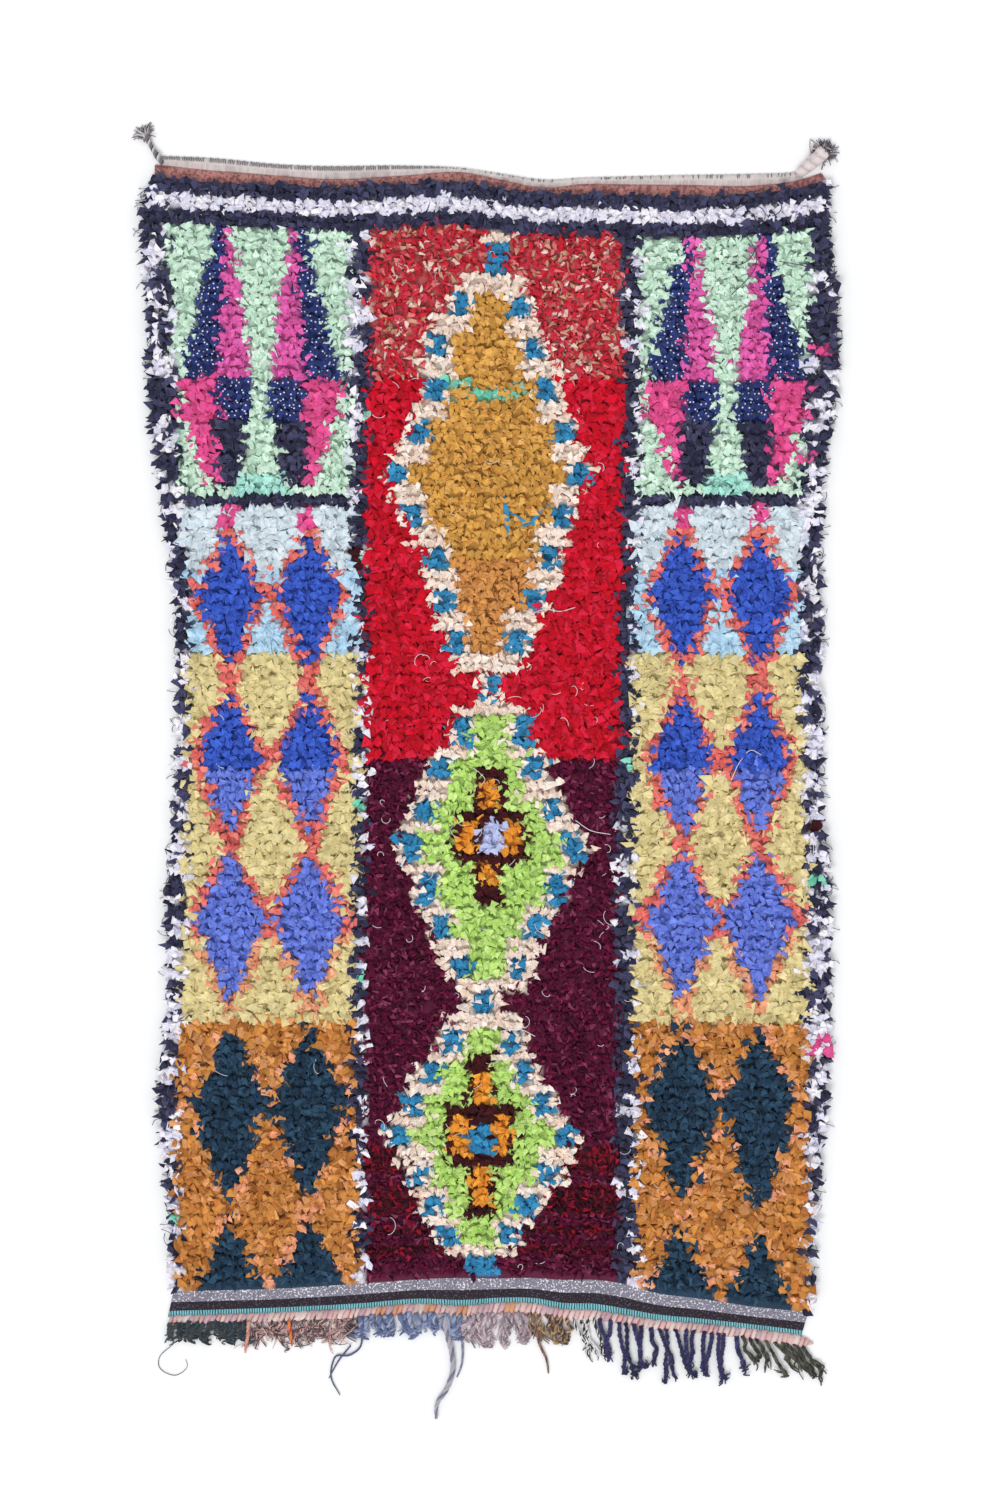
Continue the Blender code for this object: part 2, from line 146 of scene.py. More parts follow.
def smooth(rows: tuple, key: str, name: str, at: Array) -> Array:
    """Value at `at` of the smooth curve through a table's points.

    Args:
        rows: the table, whose key column rises or falls all the way.
        key: the column that the curve runs along.
        name: the column to read.
        at: places along the key column.

    Returns:
        The curve's values at those places.
    """
    xs, ys = column(rows, key), column(rows, name)
    step = 1 if xs[0] < xs[-1] else -1
    return cubic(xs[::step], ys[::step], at)


def curve_through(points: Array, count: int) -> Array:
    """Evenly spread places on the smooth line through a few points: cubics along the line's own length."""
    points = np.asarray(points, float)
    steps = np.concatenate([[0], np.cumsum(np.linalg.norm(np.diff(points, axis=0), axis=1))])
    at = np.linspace(0, steps[-1], count)
    return np.stack([cubic(steps, axis, at) for axis in points.T], -1)


def between(rows: tuple, name: str, at: Array) -> Array:
    """Value at `at` of the straight lines between a table's points, which run down the rug along y."""
    return np.interp(at, column(rows, "y")[::-1], column(rows, name)[::-1])


def scatter(a: Array, b: Array, seed: int) -> Array:
    """An even random number from 0 to 1 for each pair of whole numbers, the same each run.

    The fractional part of a large multiple of the sine of a weighted sum.

    Args:
        a: first whole numbers.
        b: second whole numbers.
        seed: picks another set of numbers.

    Returns:
        Numbers from 0 to 1 in the arrays' shape.
    """
    value = np.sin(a * 12.9898 + b * 78.233 + seed * 37.719) * 43758.5453
    return value - np.floor(value)


@dataclass(frozen=True)
class ClothFrame:
    """The cloth's outline and its thicknesses, as the solids have them."""

    cloth_thick: float = 0.0045
    wave_reach: float = 0.30
    top_span: tuple[float, float] = (-0.670, 0.662)
    foot_span: tuple[float, float] = (-0.644, 0.622)
    heading_span: tuple[float, float] = (-0.660, 0.624)
    braid_span: tuple[float, float] = (-0.640, 0.646)
    sides: tuple[SideRow, ...] = (
        SideRow(y=1.13, left=-0.668, right=0.676),
        SideRow(y=1.08, left=-0.682, right=0.672),
        SideRow(y=0.86, left=-0.678, right=0.684),
        SideRow(y=0.70, left=-0.674, right=0.684),
        SideRow(y=0.60, left=-0.664, right=0.664),
        SideRow(y=0.42, left=-0.636, right=0.654),
        SideRow(y=0.22, left=-0.620, right=0.656),
        SideRow(y=-0.10, left=-0.624, right=0.656),
        SideRow(y=-0.30, left=-0.638, right=0.672),
        SideRow(y=-0.50, left=-0.638, right=0.672),
        SideRow(y=-0.70, left=-0.656, right=0.664),
        SideRow(y=-0.90, left=-0.636, right=0.644),
        SideRow(y=-1.12, left=-0.632, right=0.634),
    )
    top_end: tuple[TopRow, ...] = (
        TopRow(x=-0.672, heading_top=1.188, heading_foot=1.170, pile_top=1.146),
        TopRow(x=-0.556, heading_top=1.183, heading_foot=1.158, pile_top=1.134),
        TopRow(x=-0.414, heading_top=1.170, heading_foot=1.147, pile_top=1.129),
        TopRow(x=-0.338, heading_top=1.167, heading_foot=1.141, pile_top=1.124),
        TopRow(x=-0.180, heading_top=1.168, heading_foot=1.147, pile_top=1.130),
        TopRow(x=-0.054, heading_top=1.163, heading_foot=1.154, pile_top=1.134),
        TopRow(x=0.016, heading_top=1.153, heading_foot=1.141, pile_top=1.122),
        TopRow(x=0.114, heading_top=1.140, heading_foot=1.123, pile_top=1.108),
        TopRow(x=0.184, heading_top=1.144, heading_foot=1.131, pile_top=1.111),
        TopRow(x=0.258, heading_top=1.146, heading_foot=1.130, pile_top=1.108),
        TopRow(x=0.380, heading_top=1.149, heading_foot=1.129, pile_top=1.105),
        TopRow(x=0.532, heading_top=1.152, heading_foot=1.128, pile_top=1.113),
        TopRow(x=0.610, heading_top=1.156, heading_foot=1.137, pile_top=1.122),
        TopRow(x=0.664, heading_top=1.172, heading_foot=1.154, pile_top=1.136),
    )
    foot_end: tuple[FootRow, ...] = (
        FootRow(x=-0.644, pile_foot=-1.082, cloth_foot=-1.134, braid_foot=-1.147),
        FootRow(x=-0.414, pile_foot=-1.076, cloth_foot=-1.126, braid_foot=-1.138),
        FootRow(x=-0.254, pile_foot=-1.066, cloth_foot=-1.118, braid_foot=-1.131),
        FootRow(x=-0.142, pile_foot=-1.058, cloth_foot=-1.109, braid_foot=-1.125),
        FootRow(x=-0.052, pile_foot=-1.055, cloth_foot=-1.113, braid_foot=-1.129),
        FootRow(x=0.018, pile_foot=-1.056, cloth_foot=-1.107, braid_foot=-1.124),
        FootRow(x=0.086, pile_foot=-1.055, cloth_foot=-1.108, braid_foot=-1.125),
        FootRow(x=0.148, pile_foot=-1.059, cloth_foot=-1.120, braid_foot=-1.135),
        FootRow(x=0.208, pile_foot=-1.059, cloth_foot=-1.122, braid_foot=-1.136),
        FootRow(x=0.258, pile_foot=-1.065, cloth_foot=-1.130, braid_foot=-1.143),
        FootRow(x=0.322, pile_foot=-1.083, cloth_foot=-1.140, braid_foot=-1.154),
        FootRow(x=0.430, pile_foot=-1.098, cloth_foot=-1.150, braid_foot=-1.163),
        FootRow(x=0.538, pile_foot=-1.114, cloth_foot=-1.161, braid_foot=-1.177),
        FootRow(x=0.650, pile_foot=-1.124, cloth_foot=-1.176, braid_foot=-1.196),
    )

    def top_edge(self, name: str, x: Array) -> Array:
        """One edge of the top end at x."""
        return smooth(self.top_end, "x", name, x)

    def foot_edge(self, name: str, x: Array) -> Array:
        """One edge of the foot at x."""
        return smooth(self.foot_end, "x", name, x)

    def side(self, name: str, y: Array) -> Array:
        """The pile's left or right edge at y."""
        return smooth(self.sides, "y", name, y)

    def levels(self) -> tuple[float, float]:
        """Mean places of the pile's top and foot along the rug."""
        top, foot = column(self.top_end, "pile_top"), column(self.foot_end, "pile_foot")
        return float(top.mean()), float(foot.mean())

    def waved(self, x: Array, level: Array) -> Array:
        """Where a straight row of knots really runs.

        y = level + the end's own wave at x, times the square of how near that end is, as a share of
        wave_reach.

        Args:
            x: places across the rug.
            level: the row's place along the rug if both ends were straight.

        Returns:
            The row's y at each x.
        """
        top, foot = self.levels()
        share = (top - level) / (top - foot)
        near_top = np.clip(1 - share / self.wave_reach, 0, 1) ** 2
        near_foot = np.clip(1 - (1 - share) / self.wave_reach, 0, 1) ** 2
        return (
            level
            + near_top * (self.top_edge("pile_top", x) - top)
            + near_foot * (self.foot_edge("pile_foot", x) - foot)
        )


class PanelRow(NamedTuple):
    """Edges between the borders, the side panels and the middle field at one place along the rug."""

    y: float
    left_outer: float
    left_inner: float
    field_left: float
    field_right: float
    right_inner: float
    right_outer: float


PANELS = (
    PanelRow(1.04, -0.642, -0.284, -0.238, 0.264, 0.308, 0.642),
    PanelRow(0.60, -0.618, -0.284, -0.244, 0.264, 0.300, 0.622),
    PanelRow(0.20, -0.596, -0.268, -0.244, 0.260, 0.292, 0.614),
    PanelRow(-0.24, -0.602, -0.272, -0.248, 0.248, 0.288, 0.626),
    PanelRow(-0.70, -0.620, -0.278, -0.251, 0.254, 0.296, 0.630),
    PanelRow(-1.08, -0.614, -0.264, -0.247, 0.256, 0.300, 0.630),
)


# The chart's unit: one knot across and one row along, in metres. Figures are counted in whole and half ones.
KNOT_WIDTH = 0.0175
KNOT_ROW = 0.021


class Patch(NamedTuple):
    """A plain rectangle of one rag, counted in knots across and rows along."""

    rag: Rag
    left: float
    right: float
    top: float
    foot: float

    def covers(self, across: Array, along: Array) -> Array:
        """True where the patch is tied."""
        return (across > self.left) & (across < self.right) & (along < self.top) & (along > self.foot)


def link(rag: Rag, middle: float, knots: float, top: float, foot: float) -> Patch:
    """A bar or square between two medallions, so many knots wide about its middle."""
    return Patch(rag, middle - knots / 2, middle + knots / 2, top, foot)


LINKS = (
    link(Rag.CREAM, 1, 3, 49.5, 48),
    link(Rag.TEAL, 1, 2, 48, 45),
    link(Rag.CREAM, 0, 3, 7, 4.5),
    link(Rag.TEAL, 0, 1, 7, 4.5),
    link(Rag.CREAM, -1, 4, -23, -25),
    link(Rag.TEAL, -1, 2, -23, -25),
    link(Rag.TEAL, -1, 3, -49, -51),
)
AQUA_FLECKS = Patch(Rag.AQUA, -5, 3.5, 35, 33)
CROSS_CHART = (
    Patch(Rag.BROWN, -1.5, 1.5, 6.5, 2.5),
    Patch(Rag.AMBER, -1, 1, 5, 2.5),
    Patch(Rag.BROWN, -4, 4, 2.5, -2.5),
    Patch(Rag.AMBER, -3.5, -1.5, 1.5, -1.5),
    Patch(Rag.AMBER, 1.5, 3.5, 1.5, -1.5),
    Patch(Rag.BROWN, -1.5, 1.5, -2.5, -6.5),
    Patch(Rag.AMBER, -1, 1, -2.5, -5),
)


class Cross(NamedTuple):
    """A cross inside a medallion: its middle in knots and rows, the stretch of its rows, and its heart."""

    knot: float
    row: float
    stretch: float
    heart: Rag

    def tied(self, x: Array, y: Array, rags: Array) -> Array:
        """The rags with this cross tied in.

        Args:
            x: places across the rug.
            y: places along it.
            rags: what is tied so far.

        Returns:
            Whole numbers that name a Rag.
        """
        across, along = x / KNOT_WIDTH - self.knot, (y / KNOT_ROW - self.row) / self.stretch
        for patch in CROSS_CHART:
            rags = np.where(patch.covers(across, along), patch.rag, rags)
        return np.where((np.abs(across) < 1.25) & (np.abs(along) < 1.25), self.heart, rags)


CROSSES = (Cross(0, -8, 1.0, Rag.LILAC), Cross(-1, -37, 1.25, Rag.TEAL))


@dataclass(frozen=True)
class Wedge:
    """A mirrored figure of a side panel: rows, three half widths in knots at top and foot, and colours."""

    top: float
    foot: float
    top_halves: tuple[float, float, float]
    foot_halves: tuple[float, float, float]
    outer: Rag
    inner: Rag


@dataclass(frozen=True)
class LozengeRow:
    """A row of four lozenges: the rows where they begin, are widest and end, half their knots, and wool."""

    top: float
    widest: float
    foot: float
    half: float
    wool: Rag


@dataclass(frozen=True)
class Medallion:
    """A stepped diamond, charted as cream bars and courses with a teal square at each side, in turn.

    Half of course i = narrow + (wide - narrow) times how far i is from the nearer end, as a share of the
    way to the widest course in the middle, rounded to whole knots.
    """

    top: float
    middle: float
    bar: float
    squares: float
    count: int
    narrow: int
    wide: int
    ground: Rag
    frame_knots: int = 3

    def half(self, i: int) -> float:
        """Half the width of one course, in metres."""
        share = min(i, self.count - 1 - i) / (self.count // 2)
        return KNOT_WIDTH * round(self.narrow + (self.wide - self.narrow) * share)

    def courses(self) -> list[tuple[bool, float, float, float, float]]:
        """Each course from the top: whether it has squares, its top, foot, outer half and inner half."""
        frame_width = self.frame_knots * KNOT_WIDTH
        halves = [self.half(i) for i in range(self.count)]
        rows, level = [], self.top * KNOT_ROW
        inner = [max(0.010, half - frame_width) if i % 2 else 0.0 for i, half in enumerate(halves)]
        last = self.count - 1
        for i, half in enumerate(halves):
            tall = KNOT_ROW * (self.squares if i % 2 else self.bar)
            hollow = inner[i] if i % 2 else (min(inner[i - 1], inner[i + 1]) if 0 < i < last else 0.0)
            rows.append((bool(i % 2), level, level - tall, half, hollow))
            level -= tall
        return rows


@dataclass(frozen=True)
class Pattern:
    """The knotted design: which rag is tied at any place of the pile, whose rows are taken as straight."""

    border_cell: float = 0.019
    border_bit: float = 0.025
    outline_bit: float = 0.014
    peach_share: float = 0.42
    white_columns_top: float = 0.24
    navy_top: float = 1.0936
    white_top: float = 1.0660
    motifs_top: float = 1.0385
    cross_band: tuple[float, float] = (0.520, 0.482)
    chips_foot: float = 0.745
    maroon_top: float = -0.014
    dark_red_top: float = -0.80
    tan_top: float = 0.394
    sky_top: float = 0.370
    olive_top: float = 0.196
    orange_top: float = -0.544
    periwinkle_top: float = -0.044
    peach_top: float = -0.380
    turquoise_top: float = 0.550
    outline: float = 0.0190
    square_rim: float = 0.012
    square_width: float = 0.034
    panel_middles: tuple[float, float] = (-0.457, 0.472)
    lozenge_middles: tuple[float, ...] = (-0.519, -0.361, 0.382, 0.536)
    wedges: tuple[Wedge, ...] = (
        Wedge(50, 35, (5, 4, 3.5), (9, 5, 1), Rag.DOTTED, Rag.MAGENTA),
        Wedge(35, 31, (9, 5, 1), (9, 5, 1), Rag.HOT_PINK, Rag.DOTTED),
        Wedge(31, 25, (8, 5.5, 1.5), (6, 5, 2.5), Rag.HOT_PINK, Rag.NAVY),
    )
    lozenge_rows: tuple[LozengeRow, ...] = (
        LozengeRow(20.5, 15, 8, 3.5, Rag.ROYAL),
        LozengeRow(5.5, -0.5, -8, 3.5, Rag.ROYAL),
        LozengeRow(-9.5, -16, -23.5, 4, Rag.PERIWINKLE),
        LozengeRow(-26, -33.5, -43, 4.5, Rag.DARK_TEAL),
        LozengeRow(-44, -52, -62.5, 4.5, Rag.DARK_TEAL),
    )
    medallions: tuple[Medallion, ...] = (
        Medallion(top=45, middle=0, bar=1.5, squares=2.5, count=19, narrow=4, wide=12, ground=Rag.OCHRE),
        Medallion(top=4.5, middle=0, bar=1.25, squares=2.5, count=15, narrow=4, wide=11, ground=Rag.LIME),
        Medallion(top=-25, middle=-1, bar=1.25, squares=2.0, count=15, narrow=4, wide=11, ground=Rag.LIME),
    )

    def rag_at(self, x: Array, y: Array) -> Array:
        """The rag tied at each place.

        Args:
            x: places across the rug.
            y: places along it.

        Returns:
            Whole numbers that name a Rag.
        """
        edges = {name: between(PANELS, name, y) for name in PanelRow._fields[1:]}
        rags = self.borders(x, y, (x < edges["left_outer"]) | (x > edges["right_outer"]))
        in_field = (x > edges["field_left"]) & (x < edges["field_right"])
        rags = np.where(in_field, self.field(x, y), rags)
        in_left = (x > edges["left_outer"]) & (x < edges["left_inner"])
        in_right = (x > edges["right_inner"]) & (x < edges["right_outer"])
        rags = np.where(in_left | in_right, self.side_panels(x, y), rags)
        rags = np.where((y > self.white_top) & (y < self.navy_top), Rag.WHITE, rags)
        rags = np.where((y >= self.motifs_top) & (y <= self.white_top), Rag.NAVY, rags)
        return np.where(y >= self.navy_top, Rag.NAVY, rags)

    def borders(self, x: Array, y: Array, outer: Array) -> Array:
        """Navy and white bits in two uneven columns, with a few odd colours.

        Args:
            x: places across the rug.
            y: places along it.
            outer: true in the two outer borders.

        Returns:
            Whole numbers that name a Rag.
        """
        row, cell = np.round(y / self.border_bit + 0.3 * np.sin(x * 70.0)), np.round(x / self.border_cell)
        upper = y > self.white_columns_top
        edge = np.where(x < 0, -0.262, 0.284) + 0.004 * np.sin(y * 31.0)
        white_side = np.where(upper, np.where(x < 0, x < edge, x > edge), x > edge)
        inner_share = np.where(upper, np.where(white_side, 0.50, 0.05), np.where(white_side, 0.64, 0.10))
        share = np.where(outer, np.where(upper, 0.38, 0.50), inner_share)
        rags = np.where(scatter(row, cell, 1) < share, Rag.WHITE, Rag.NAVY)
        odd = scatter(row, cell, 2)
        rags = np.where(odd < 0.008, Rag.AQUA, rags)
        rags = np.where((odd > 0.988) & (y < 0.5), Rag.BROWN, rags)
        return np.where((odd > 0.982) & (odd < 0.983), Rag.HOT_PINK, rags)

    def field(self, x: Array, y: Array) -> Array:
        """The middle field: red above and maroon below, with three stepped medallions down its middle.

        Args:
            x: places across the rug.
            y: places along it.

        Returns:
            Whole numbers that name a Rag.
        """
        rags = np.where(y > self.maroon_top, Rag.RED, Rag.MAROON)
        rags = np.where(y > self.chips_foot, Rag.RED_CHIPS, rags)
        rags = np.where((y < self.dark_red_top) & (scatter(np.round(y / KNOT_ROW), x * 0, 12) < 0.6),
                        Rag.DARK_RED, rags)
        for link_bar in LINKS:
            rags = np.where(link_bar.covers(x / KNOT_WIDTH, y / KNOT_ROW), link_bar.rag, rags)
        for medallion in self.medallions:
            away = np.abs(x - medallion.middle * KNOT_WIDTH - 0.006 * np.sin(y * 21.0))
            ground = np.where((medallion.ground is Rag.OCHRE) & (y < self.tan_top), Rag.TAN, medallion.ground)
            for squared, top, foot, half, hollow in medallion.courses():
                here = (y <= top) & (y > foot)
                rags = np.where(here & (away < half), Rag.CREAM, rags)
                rags = np.where(here & (away < hollow), ground, rags)
                edge = half - self.square_rim
                start = max(edge - self.square_width, hollow + 0.006)
                teal = here & (away < edge) & (away > start) & squared
                rags = np.where(teal, Rag.TEAL, rags)
        knot = scatter(np.round(x / self.border_cell), np.round(y / KNOT_ROW), 5)
        flecked = AQUA_FLECKS.covers(x / KNOT_WIDTH, y / KNOT_ROW) & (knot < 0.42)
        rags = np.where(flecked, Rag.AQUA, rags)
        for cross in CROSSES:
            rags = cross.tied(x, y, rags)
        return rags

    def side_panels(self, x: Array, y: Array) -> Array:
        """Both side panels: mirrored wedges above a navy band, and rows of outlined lozenges below it.

        Args:
            x: places across the rug.
            y: places along it.

        Returns:
            Whole numbers that name a Rag.
        """
        away = np.minimum(np.abs(x - self.panel_middles[0]), np.abs(x - self.panel_middles[1]))
        rags = np.full(x.shape, int(Rag.MINT))
        rags = np.where((y < self.turquoise_top) & (away < 0.05), Rag.SEAFOAM, rags)
        for wedge in self.wedges:
            along = y / KNOT_ROW
            share = np.clip((wedge.top - along) / (wedge.top - wedge.foot), 0, 1)
            outer, middle, inner = (
                KNOT_WIDTH * (a + (b - a) * share) for a, b in zip(wedge.top_halves, wedge.foot_halves)
            )
            here = (along <= wedge.top) & (along > wedge.foot)
            rags = np.where(here & (away < outer) & (away > middle), wedge.outer, rags)
            rags = np.where(here & (away <= middle) & (away > inner), wedge.inner, rags)
        ground = np.where(y > self.sky_top, Rag.GREY_BLUE, np.where(y > self.olive_top, Rag.SKY, Rag.OLIVE))
        ground = np.where(y > self.orange_top, ground, Rag.ORANGE)
        rags = np.where(y < self.cross_band[0], Rag.NAVY, rags)
        rags = np.where(y < self.cross_band[1], ground, rags)
        for row in self.lozenge_rows:
            rags = self.lozenges(x, y, row, rags)
        return rags

    def lozenges(self, x: Array, y: Array, row: LozengeRow, rags: Array) -> Array:
        """One row of four lozenges, outlined in coral bits, but the dark ones in a few peach bits.

        Half a lozenge's width falls from its widest row to each tip as the 0.9th power of the share of the
        way left, and the outline runs round it at an even distance.

        Args:
            x: places across the rug.
            y: places along it.
            row: where the row's lozenges are widest and end.
            rags: what is tied so far.

        Returns:
            The rags with the lozenges tied in.
        """
        away = np.min([np.abs(x - middle) for middle in self.lozenge_middles], axis=0)
        top, widest, foot = (KNOT_ROW * level for level in (row.top, row.widest, row.foot))
        up, down = top - widest, widest - foot
        share = np.where(y > widest, (top - y) / up, (y - foot) / down)
        half = KNOT_WIDTH * row.half * np.clip(share, 0, 1) ** 0.9
        rim = (away < half + self.outline) & (share > -self.outline / up)
        dark = row.wool is Rag.DARK_TEAL
        bits = scatter(np.round(x / self.outline_bit), np.round(y / KNOT_ROW), 7)
        plain = np.where(y > self.peach_top, Rag.CORAL, Rag.PEACH)
        edge = np.where(bits < self.peach_share, Rag.PEACH, rags) if dark else plain
        rags = np.where(rim, edge, rags)
        body = np.where((row.wool is Rag.ROYAL) & (y < self.periwinkle_top), Rag.PERIWINKLE, row.wool)
        rags = np.where((away < half) & (share > 0), body, rags)
        first = row is self.lozenge_rows[0]
        tip = first & (y < top + 0.058) & (y > top + 0.010) & (away < 0.014)
        return np.where(tip, Rag.HOT_PINK, rags)


def linear(colour: Colour | tuple[Colour, ...]) -> Array:
    """One or more sRGB colours of 0 to 255 as linear ones, by the standard curve with its power of 2.4."""
    share = np.asarray(colour, float) / 255
    return np.where(share <= 0.04045, share / 12.92, ((share + 0.055) / 1.055) ** 2.4)


class Cut(Enum):
    """How a rag is cut and tied."""

    STRIP = "broad torn strips that fold"
    SLIVER = "thin slivers that point every way"
    PUFF = "rounded puffs of soft knit"
    RUFFLE = "long ruffled strips"
    TUFT = "small upright leaves"
    BIT = "short bits that keep a figure's edge"
    WOOL = "fine frizzy wool"


@dataclass(frozen=True)
class Shape:
    """Sizes of one cut: a leaf's length, width, height and fold, how many a knot has, and how they spread."""

    length: float
    width: float
    height: float
    fold: float
    tip: float
    leaves: int
    spread: float
    reach: float = 0.62


SHAPES = {
    Cut.STRIP: Shape(0.029, 0.0200, 0.019, 0.0028, 0.72, 3, 0.90),
    Cut.SLIVER: Shape(0.026, 0.0100, 0.020, 0.0020, 0.35, 4, 1.50),
    Cut.PUFF: Shape(0.027, 0.0230, 0.018, 0.0040, 0.86, 3, 0.62),
    Cut.RUFFLE: Shape(0.032, 0.0190, 0.020, 0.0036, 0.60, 3, 1.00),
    Cut.TUFT: Shape(0.025, 0.0155, 0.020, 0.0026, 0.55, 3, 0.85),
    Cut.BIT: Shape(0.022, 0.0160, 0.020, 0.0028, 0.66, 3, 0.72),
    Cut.WOOL: Shape(0.020, 0.0080, 0.018, 0.0018, 0.35, 4, 1.80, 0.75),
}


@dataclass(frozen=True)
class RagStyle:
    """One rag: its cut, its colours, and how much it shines and frays."""

    name: str
    cut: Cut
    colours: tuple[Colour, ...]
    vary: float = 0.07
    sheen: float = 0.16
    roughness: float = 0.90
    dotted: bool = False


STYLES = {
    Rag.NAVY: RagStyle("navy", Cut.BIT, ((54, 54, 84), (38, 38, 66), (70, 70, 104))),
    Rag.WHITE: RagStyle("white", Cut.BIT, ((250, 246, 252), (242, 238, 250), (232, 230, 248)), vary=0.03),
    Rag.MINT: RagStyle("mint", Cut.TUFT, ((214, 242, 220), (202, 234, 210), (222, 246, 228)), vary=0.04),
    Rag.DOTTED: RagStyle("dotted_blue", Cut.BIT, ((34, 50, 112), (42, 60, 126)), dotted=True),
    Rag.MAGENTA: RagStyle("magenta", Cut.BIT, ((236, 106, 186), (226, 92, 172))),
    Rag.HOT_PINK: RagStyle("hot_pink", Cut.STRIP, ((240, 92, 160), (230, 78, 146))),
    Rag.RED: RagStyle("crimson", Cut.STRIP, ((212, 8, 40), (196, 8, 34), (222, 30, 62)), sheen=0.05),
    Rag.RED_CHIPS: RagStyle(
        "crimson_slivers", Cut.SLIVER,
        ((206, 40, 58), (200, 24, 46), (212, 60, 78), (222, 44, 64), (198, 36, 58), (214, 50, 68),
         (206, 66, 84), (240, 208, 196), (226, 120, 120), (206, 158, 130)), sheen=0.08,
    ),
    Rag.MAROON: RagStyle(
        "maroon", Cut.WOOL,
        ((98, 10, 54), (76, 8, 44), (120, 24, 66), (90, 8, 48), (84, 8, 46), (102, 12, 56), (136, 56, 88)),
        vary=0.14, sheen=0.03,
    ),
    Rag.CREAM: RagStyle("cream", Cut.BIT, ((252, 232, 216), (248, 222, 204), (254, 240, 228)), vary=0.03),
    Rag.TEAL: RagStyle("teal", Cut.BIT, ((58, 148, 196), (46, 134, 182)), sheen=0.10),
    Rag.OCHRE: RagStyle("ochre", Cut.TUFT, ((222, 166, 78), (210, 154, 68), (230, 176, 92)), sheen=0.10),
    Rag.TAN: RagStyle("tan", Cut.TUFT, ((226, 160, 88), (214, 148, 78)), sheen=0.10),
    Rag.LIME: RagStyle("lime", Cut.TUFT, ((196, 232, 124), (184, 222, 112), (208, 238, 142)), sheen=0.12),
    Rag.AQUA: RagStyle("aqua", Cut.TUFT, ((112, 208, 178), (140, 218, 196))),
    Rag.SEAFOAM: RagStyle("seafoam", Cut.TUFT, ((174, 236, 220), (190, 240, 228))),
    Rag.GREY_BLUE: RagStyle("grey_blue", Cut.PUFF, ((224, 234, 240), (214, 228, 236)), vary=0.04),
    Rag.SKY: RagStyle("sky", Cut.PUFF, ((198, 228, 246), (184, 220, 242)), vary=0.04),
    Rag.OLIVE: RagStyle("olive_yellow", Cut.PUFF, ((236, 220, 162), (226, 210, 150)), vary=0.05, sheen=0.15),
    Rag.ORANGE: RagStyle(
        "ochre_orange", Cut.RUFFLE, ((204, 136, 66), (186, 116, 54), (208, 140, 68), (222, 156, 96)),
        vary=0.12, sheen=0.08,
    ),
    Rag.PEACH: RagStyle("peach", Cut.BIT, ((248, 176, 134), (240, 162, 120))),
    Rag.CORAL: RagStyle("coral", Cut.BIT, ((240, 120, 112), (232, 110, 104), (242, 138, 126)), sheen=0.12),
    Rag.ROYAL: RagStyle("royal_blue", Cut.TUFT, ((66, 104, 214), (58, 92, 196)), sheen=0.08),
    Rag.PERIWINKLE: RagStyle("periwinkle", Cut.TUFT, ((118, 140, 232), (106, 128, 222)), sheen=0.10),
    Rag.DARK_TEAL: RagStyle("dark_teal", Cut.TUFT, ((36, 64, 90), (28, 54, 76), (46, 78, 102)), sheen=0.08),
    Rag.AMBER: RagStyle("amber", Cut.TUFT, ((246, 166, 58), (238, 152, 48)), sheen=0.08),
    Rag.LILAC: RagStyle("lilac", Cut.TUFT, ((196, 204, 240), (186, 194, 234))),
    Rag.DARK_RED: RagStyle("dark_red", Cut.WOOL, ((150, 20, 44), (76, 10, 36), (116, 14, 42), (50, 16, 30)),
                           vary=0.2, sheen=0.03),
    Rag.BROWN: RagStyle("dark_brown", Cut.TUFT, ((76, 20, 28), (62, 16, 22)), sheen=0.05),
}


